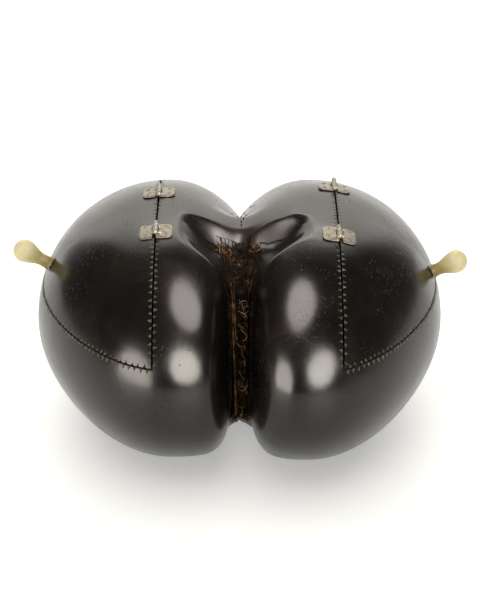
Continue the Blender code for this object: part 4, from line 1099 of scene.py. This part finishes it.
class NUTBOX_OT_fibre(bpy.types.Operator):
    """Make the mat of husk fibre and its loose strands"""

    bl_idname = "nutbox.fibre"
    bl_label = "Fibre"

    def execute(self, context):
        """Make the mat over its grid of rays, then the strands."""
        settings = context.scene.nut_box
        rng = np.random.default_rng(5)
        place, across, floor, top, share = mat_grid(MAT_ROWS, MAT_COLUMNS, rng)
        crown = 1.0 - np.abs(2.0 * share - 1.0) ** 3
        fluff = ripple(place * MAT_SCALE, across, rng)
        combed = np.sin(2100.0 * across + 4.0 * np.sin(60.0 * place) + 1.5 * fluff)
        sag = 1.3 * MM * smoothstep((place - 0.20) / 0.15) * (1.0 - (2.0 * share - 1.0) ** 2)
        # The crown bulges between the torn edges, sags in the cleft and is ruffled
        ruffle = (0.8 * fluff + 0.25 * combed) * MM * crown
        over = floor + np.maximum((top - floor) * crown ** 0.5 - sag + ruffle, 0.5 * MM)
        mesh = sheet_between("mat", mat_point(place, across, over), mat_point(place, across, floor))
        tone = -0.12 + 0.10 * fluff.ravel() + 0.06 * combed.ravel()
        paint_tone(mesh, np.concatenate((tone, np.zeros(len(tone)))))
        piece = link("fibre_mat", to_part(shade(mesh, 60.0)), [finish("dry_husk_fibre")])
        settle(piece, "seed", ["fibre_tuft"])
        self.strands(settings, rng)
        return {"FINISHED"}

    def strands(self, settings, rng):
        """Loose fibres in six lots: a tangle in the hollow that runs every way, small pale clumps beside it,
        fibres along the cleft, fibres across it, a few whitish hairs, and a bundle of long ones down its left
        flank. A clump is a place along the mat and a distance across it."""
        count = settings.strand_count
        clumps = np.array(((0.045, -18.5 * MM), (0.08, -9.5 * MM), (0.06, 13.0 * MM), (0.14, -6.5 * MM),
                           (0.97, 0.0)))
        pick = rng.integers(0, len(clumps), count // 7)
        wide = rng.normal(0.0, 8.5 * MM, count)
        lots = [
            self.lot(rng, rng.uniform(0.03, 0.24, count), wide, rng.uniform(-3.2, 3.2, count),
                     (6.0, 20.0), (0.0, 4.0), (-0.15, 0.42), 1.0),
            self.lot(rng, clumps[pick, 0] + rng.normal(0.0, 0.008, len(pick)),
                     clumps[pick, 1] + rng.normal(0.0, 1.4 * MM, len(pick)), rng.uniform(-3.2, 3.2, len(pick)),
                     (3.0, 9.0), (0.5, 3.0), (0.40, 0.70), 1.2),
            self.lot(rng, rng.uniform(0.16, 0.92, count // 4), rng.uniform(-5.0, 5.0, count // 4) * MM,
                     rng.normal(0.0, 0.3, count // 4), (10.0, 34.0), (0.0, 2.0), (-0.15, 0.36), 1.0, 0.5),
            self.lot(rng, rng.uniform(0.20, 0.99, count // 10), rng.uniform(-5.0, 3.0, count // 10) * MM,
                     rng.normal(1.5, 0.5, count // 10), (5.0, 12.0), (0.5, 3.5), (0.0, 0.50), 0.9, 0.6),
            self.lot(rng, rng.uniform(0.16, 0.95, 24), rng.uniform(-4.0, 2.0, 24) * MM,
                     rng.normal(1.2, 0.7, 24), (7.0, 13.0), (1.5, 5.0), (0.80, 0.90), 0.7, 0.4),
            self.bundle(rng, 60)]
        points, quads, ends, tones = [], [], [], []
        base = 0
        for paths, thickness, tone in lots:
            steps = paths.shape[1]
            taper = 1.0 - 0.7 * np.linspace(0.0, 1.0, steps)[None, :] ** 3
            radii = settings.strand_radius * thickness[:, None] * taper
            made, body_faces, end_faces = tubes(paths, radii, 4)
            points.append(made)
            quads.append(body_faces + base)
            ends.append(end_faces + base)
            tones.append(np.repeat(tone, steps * 4))
            base += len(made)
        mesh = mesh_from("strands", np.concatenate(points), quads + ends)
        paint_tone(mesh, np.concatenate(tones))
        mesh.shade_smooth()
        piece = link("fibre_strands", to_part(mesh), [finish("dry_husk_fibre")])
        settle(piece, "seed", ["fibre_tuft"])

    def lot(self, rng, place, across, heading, lengths, lifts, tones, thick, curl=1.0):
        """Curled fibres from given starts: each heading bends and wavers on its way, the fibre springs up from
        the mat by its lift and half of them come down again. Lengths and lifts are in millimetres."""
        count = len(place)
        t = np.linspace(0.0, 1.0, 12)[None, :]
        length = rng.uniform(*lengths, (count, 1)) * MM
        bend = curl * rng.normal(0.0, 1.2, (count, 1)) * t
        waver = np.sin(rng.uniform(5.0, 11.0, (count, 1)) * t + rng.uniform(0.0, 6.3, (count, 1)))
        way = heading[:, None] + bend + 0.5 * curl * waver
        step = length / 11.0
        go = place[:, None] + np.cumsum(np.cos(way) * step, axis=1) / MAT_SCALE
        aside = across[:, None] + np.cumsum(np.sin(way) * step, axis=1)
        up = rng.uniform(0.0, 1.0, (count, 1))
        spring = np.where(up > 0.5, np.sin(np.pi * t), t ** 1.6)
        lift = rng.uniform(*lifts, (count, 1)) * MM * spring
        tone = rng.uniform(*tones, count)
        loose = rng.uniform(0.55, 1.25, (count, 1))
        paths = self.over_valley(go, aside, lift, loose)
        return paths, thick * rng.uniform(0.6, 1.2, count), tone

    def bundle(self, rng, count):
        """Long fibres from the hollow's left side down the cleft's left flank, drawing together as they go."""
        t = np.linspace(0.0, 1.0, 44)[None, :]
        begin = rng.uniform(0.05, 0.45, (count, 1))
        go = begin + (rng.uniform(0.75, 0.99, (count, 1)) - begin) * t
        line = np.interp(go, (0.05, 0.12, 0.22, 0.50, 1.0), (-11.0, -9.0, -6.0, -5.0, -3.5)) * MM
        aside = line + rng.normal(0.0, 0.7 * MM, (count, 1)) * (1.3 - t)
        aside = aside + 0.35 * MM * np.sin(9.0 * t + 6.0 * rng.random((count, 1)))
        lift = 1.6 * MM * rng.random((count, 1)) * np.sin(np.pi * t) ** 0.5
        paths = self.over_valley(go, aside, lift, 1.6)
        return paths, rng.uniform(0.6, 1.1, count), rng.uniform(0.10, 0.60, count)

    def over_valley(self, go, aside, lift, loose):
        """Points above the mat's crown or the shell beside it, whichever is higher, but never far up a flank:
        the distance aside is squeezed into the valley's room by a tanh."""
        go = np.clip(go, 0.012, 1.0)
        room = (5.2 * MM + 16.0 * MM * (1.0 - smoothstep(go / 0.30))) * loose
        aside = room * np.tanh(aside / room)
        top = mat_top(go)
        base = np.maximum(top - 0.9 * MM, np.minimum(mat_reach(go, aside), top + 5.0 * MM))
        return mat_point(go, aside, base + 0.25 * MM + lift * smoothstep(go / 0.09))


def at_sky(azimuth, elevation, distance):
    """A place round the nut: azimuth 0 is the camera's side and 90 is +X."""
    a, e = math.radians(azimuth), math.radians(elevation)
    way = np.array((math.sin(a) * math.cos(e), -math.cos(a) * math.cos(e), math.sin(e)))
    return tuple(NUT_CENTRE + distance * way)


def area_light(name, place, target, size, radiance, colour="#ffffff", shape="RECTANGLE"):
    """One soft studio light that faces a point, as bright to the eye as its radiance says."""
    data = bpy.data.lights.new(name, "AREA")
    data.shape = shape
    data.size, data.size_y = size
    data.energy = radiance * math.pi * size[0] * size[1] * (math.pi / 4.0 if shape == "ELLIPSE" else 1.0)
    data.color = linear(colour)
    lamp = bpy.data.objects.new(name, data)
    lamp.location = place
    lamp.rotation_euler = (Vector(target) - Vector(place)).to_track_quat("-Z", "Y").to_euler()
    bpy.context.scene.collection.objects.link(lamp)
    lamp.visible_camera = False
    return lamp


class NUTBOX_OT_stage(bpy.types.Operator):
    """Make the floor, the studio lights and the camera"""

    bl_idname = "nutbox.stage"
    bl_label = "Stage"

    def execute(self, context):
        """Set the floor, the sky, the lamps and the camera."""
        settings = context.scene.nut_box
        scene = context.scene
        angle = np.linspace(0.0, 2.0 * np.pi, 64, endpoint=False)
        disc = np.stack((FLOOR_RADIUS * np.cos(angle), FLOOR_RADIUS * np.sin(angle),
                         np.full_like(angle, -FLOOR_DROP)), axis=-1)
        floor = link("studio_floor", mesh_from("floor", disc, (np.arange(64)[None],)),
                     [plain_finish("studio_floor_paint", settings.floor_colour, 0.55, 0.42)])
        world = bpy.data.worlds.new("studio")
        world.use_nodes = True
        sky = world.node_tree.nodes["Background"].inputs
        sky["Color"].default_value = (*linear("#f8f5ee"), 1.0)
        sky["Strength"].default_value = 0.10
        scene.world = world
        scene.view_settings.view_transform = "Standard"
        middle = tuple(NUT_CENTRE)
        overhead = area_light("overhead", (0.0, 0.0, 2.6), middle, (4.5, 4.5), 1.4, "#fffdf8")
        overhead.visible_glossy = False
        front_fill = area_light("front_fill", at_sky(-15.0, 40.0, 2.0), middle, (1.2, 1.2), 2.2, "#fff8ee")
        front_fill.visible_glossy = False
        area_light("back_wall", (0.0, 3.0, 1.6), (0.0, 0.0, 1.6), (3.4, 3.4), 1.5, "#fffbf3")
        area_light("rear_softbox", (0.0, 2.5, 1.85), middle, (1.5, 0.45), 3.9, "#fffbf3")
        # Lamps seen in the polish alone: the round glints low on the lobes and the soft one over the hollow
        for name, place, size, radiance, colour in (
                ("left_softbox", at_sky(-50.0, 7.0, 1.6), (1.10, 1.20), 13.5, "#fff8ee"),
                ("front_softbox", at_sky(22.0, 25.0, 1.8), (1.35, 1.30), 20.0, "#fffaf0"),
                ("near_softbox", tuple(NUT_CENTRE + np.array((0.010, -0.090, 0.165))), (0.10, 0.13), 11.0,
                 "#fbf0f2")):
            area_light(name, place, middle, size, radiance, colour, "ELLIPSE").visible_diffuse = False
        data = bpy.data.cameras.new("camera")
        data.sensor_fit = "HORIZONTAL"
        data.sensor_width = 36.0
        data.lens = CAMERA_LENS
        data.shift_x, data.shift_y = CAMERA_SHIFT
        camera = bpy.data.objects.new("camera", data)
        back = Vector((0.0, -math.cos(CAMERA_TILT), math.sin(CAMERA_TILT)))
        camera.location = Vector(middle) + CAMERA_DISTANCE * back
        camera.rotation_euler = (-back).to_track_quat("-Z", "Y").to_euler()
        scene.collection.objects.link(camera)
        scene.camera = camera
        return {"FINISHED"}


OPERATORS = (NUTBOX_OT_finishes, NUTBOX_OT_shell, NUTBOX_OT_knobs, NUTBOX_OT_hinges, NUTBOX_OT_fibre,
             NUTBOX_OT_stage)


class NUTBOX_PT_panel(bpy.types.Panel):
    """The nut box's settings and its pieces"""

    bl_label = "Nut box"
    bl_idname = "NUTBOX_PT_panel"
    bl_space_type = "VIEW_3D"
    bl_region_type = "UI"
    bl_category = "Nut Box"

    def draw(self, context):
        """Every setting, then a button for every operator."""
        settings = context.scene.nut_box
        for name in NutBoxSettings.__annotations__:
            self.layout.prop(settings, name)
        for operator in OPERATORS:
            self.layout.operator(operator.bl_idname)


CLASSES = (NutBoxSettings, *OPERATORS, NUTBOX_PT_panel)


def register():
    """Make the add-on's classes and settings known."""
    for each in CLASSES:
        bpy.utils.register_class(each)
    bpy.types.Scene.nut_box = bpy.props.PointerProperty(type=NutBoxSettings)


def unregister():
    """Take the add-on's classes and settings out again."""
    del bpy.types.Scene.nut_box
    for each in reversed(CLASSES):
        bpy.utils.unregister_class(each)


def main():
    """Make every piece in order."""
    register()
    for operator in (bpy.ops.nutbox.finishes, bpy.ops.nutbox.shell, bpy.ops.nutbox.knobs, bpy.ops.nutbox.hinges,
                     bpy.ops.nutbox.fibre, bpy.ops.nutbox.stage):
        operator()


if __name__ == "__main__":
    main()
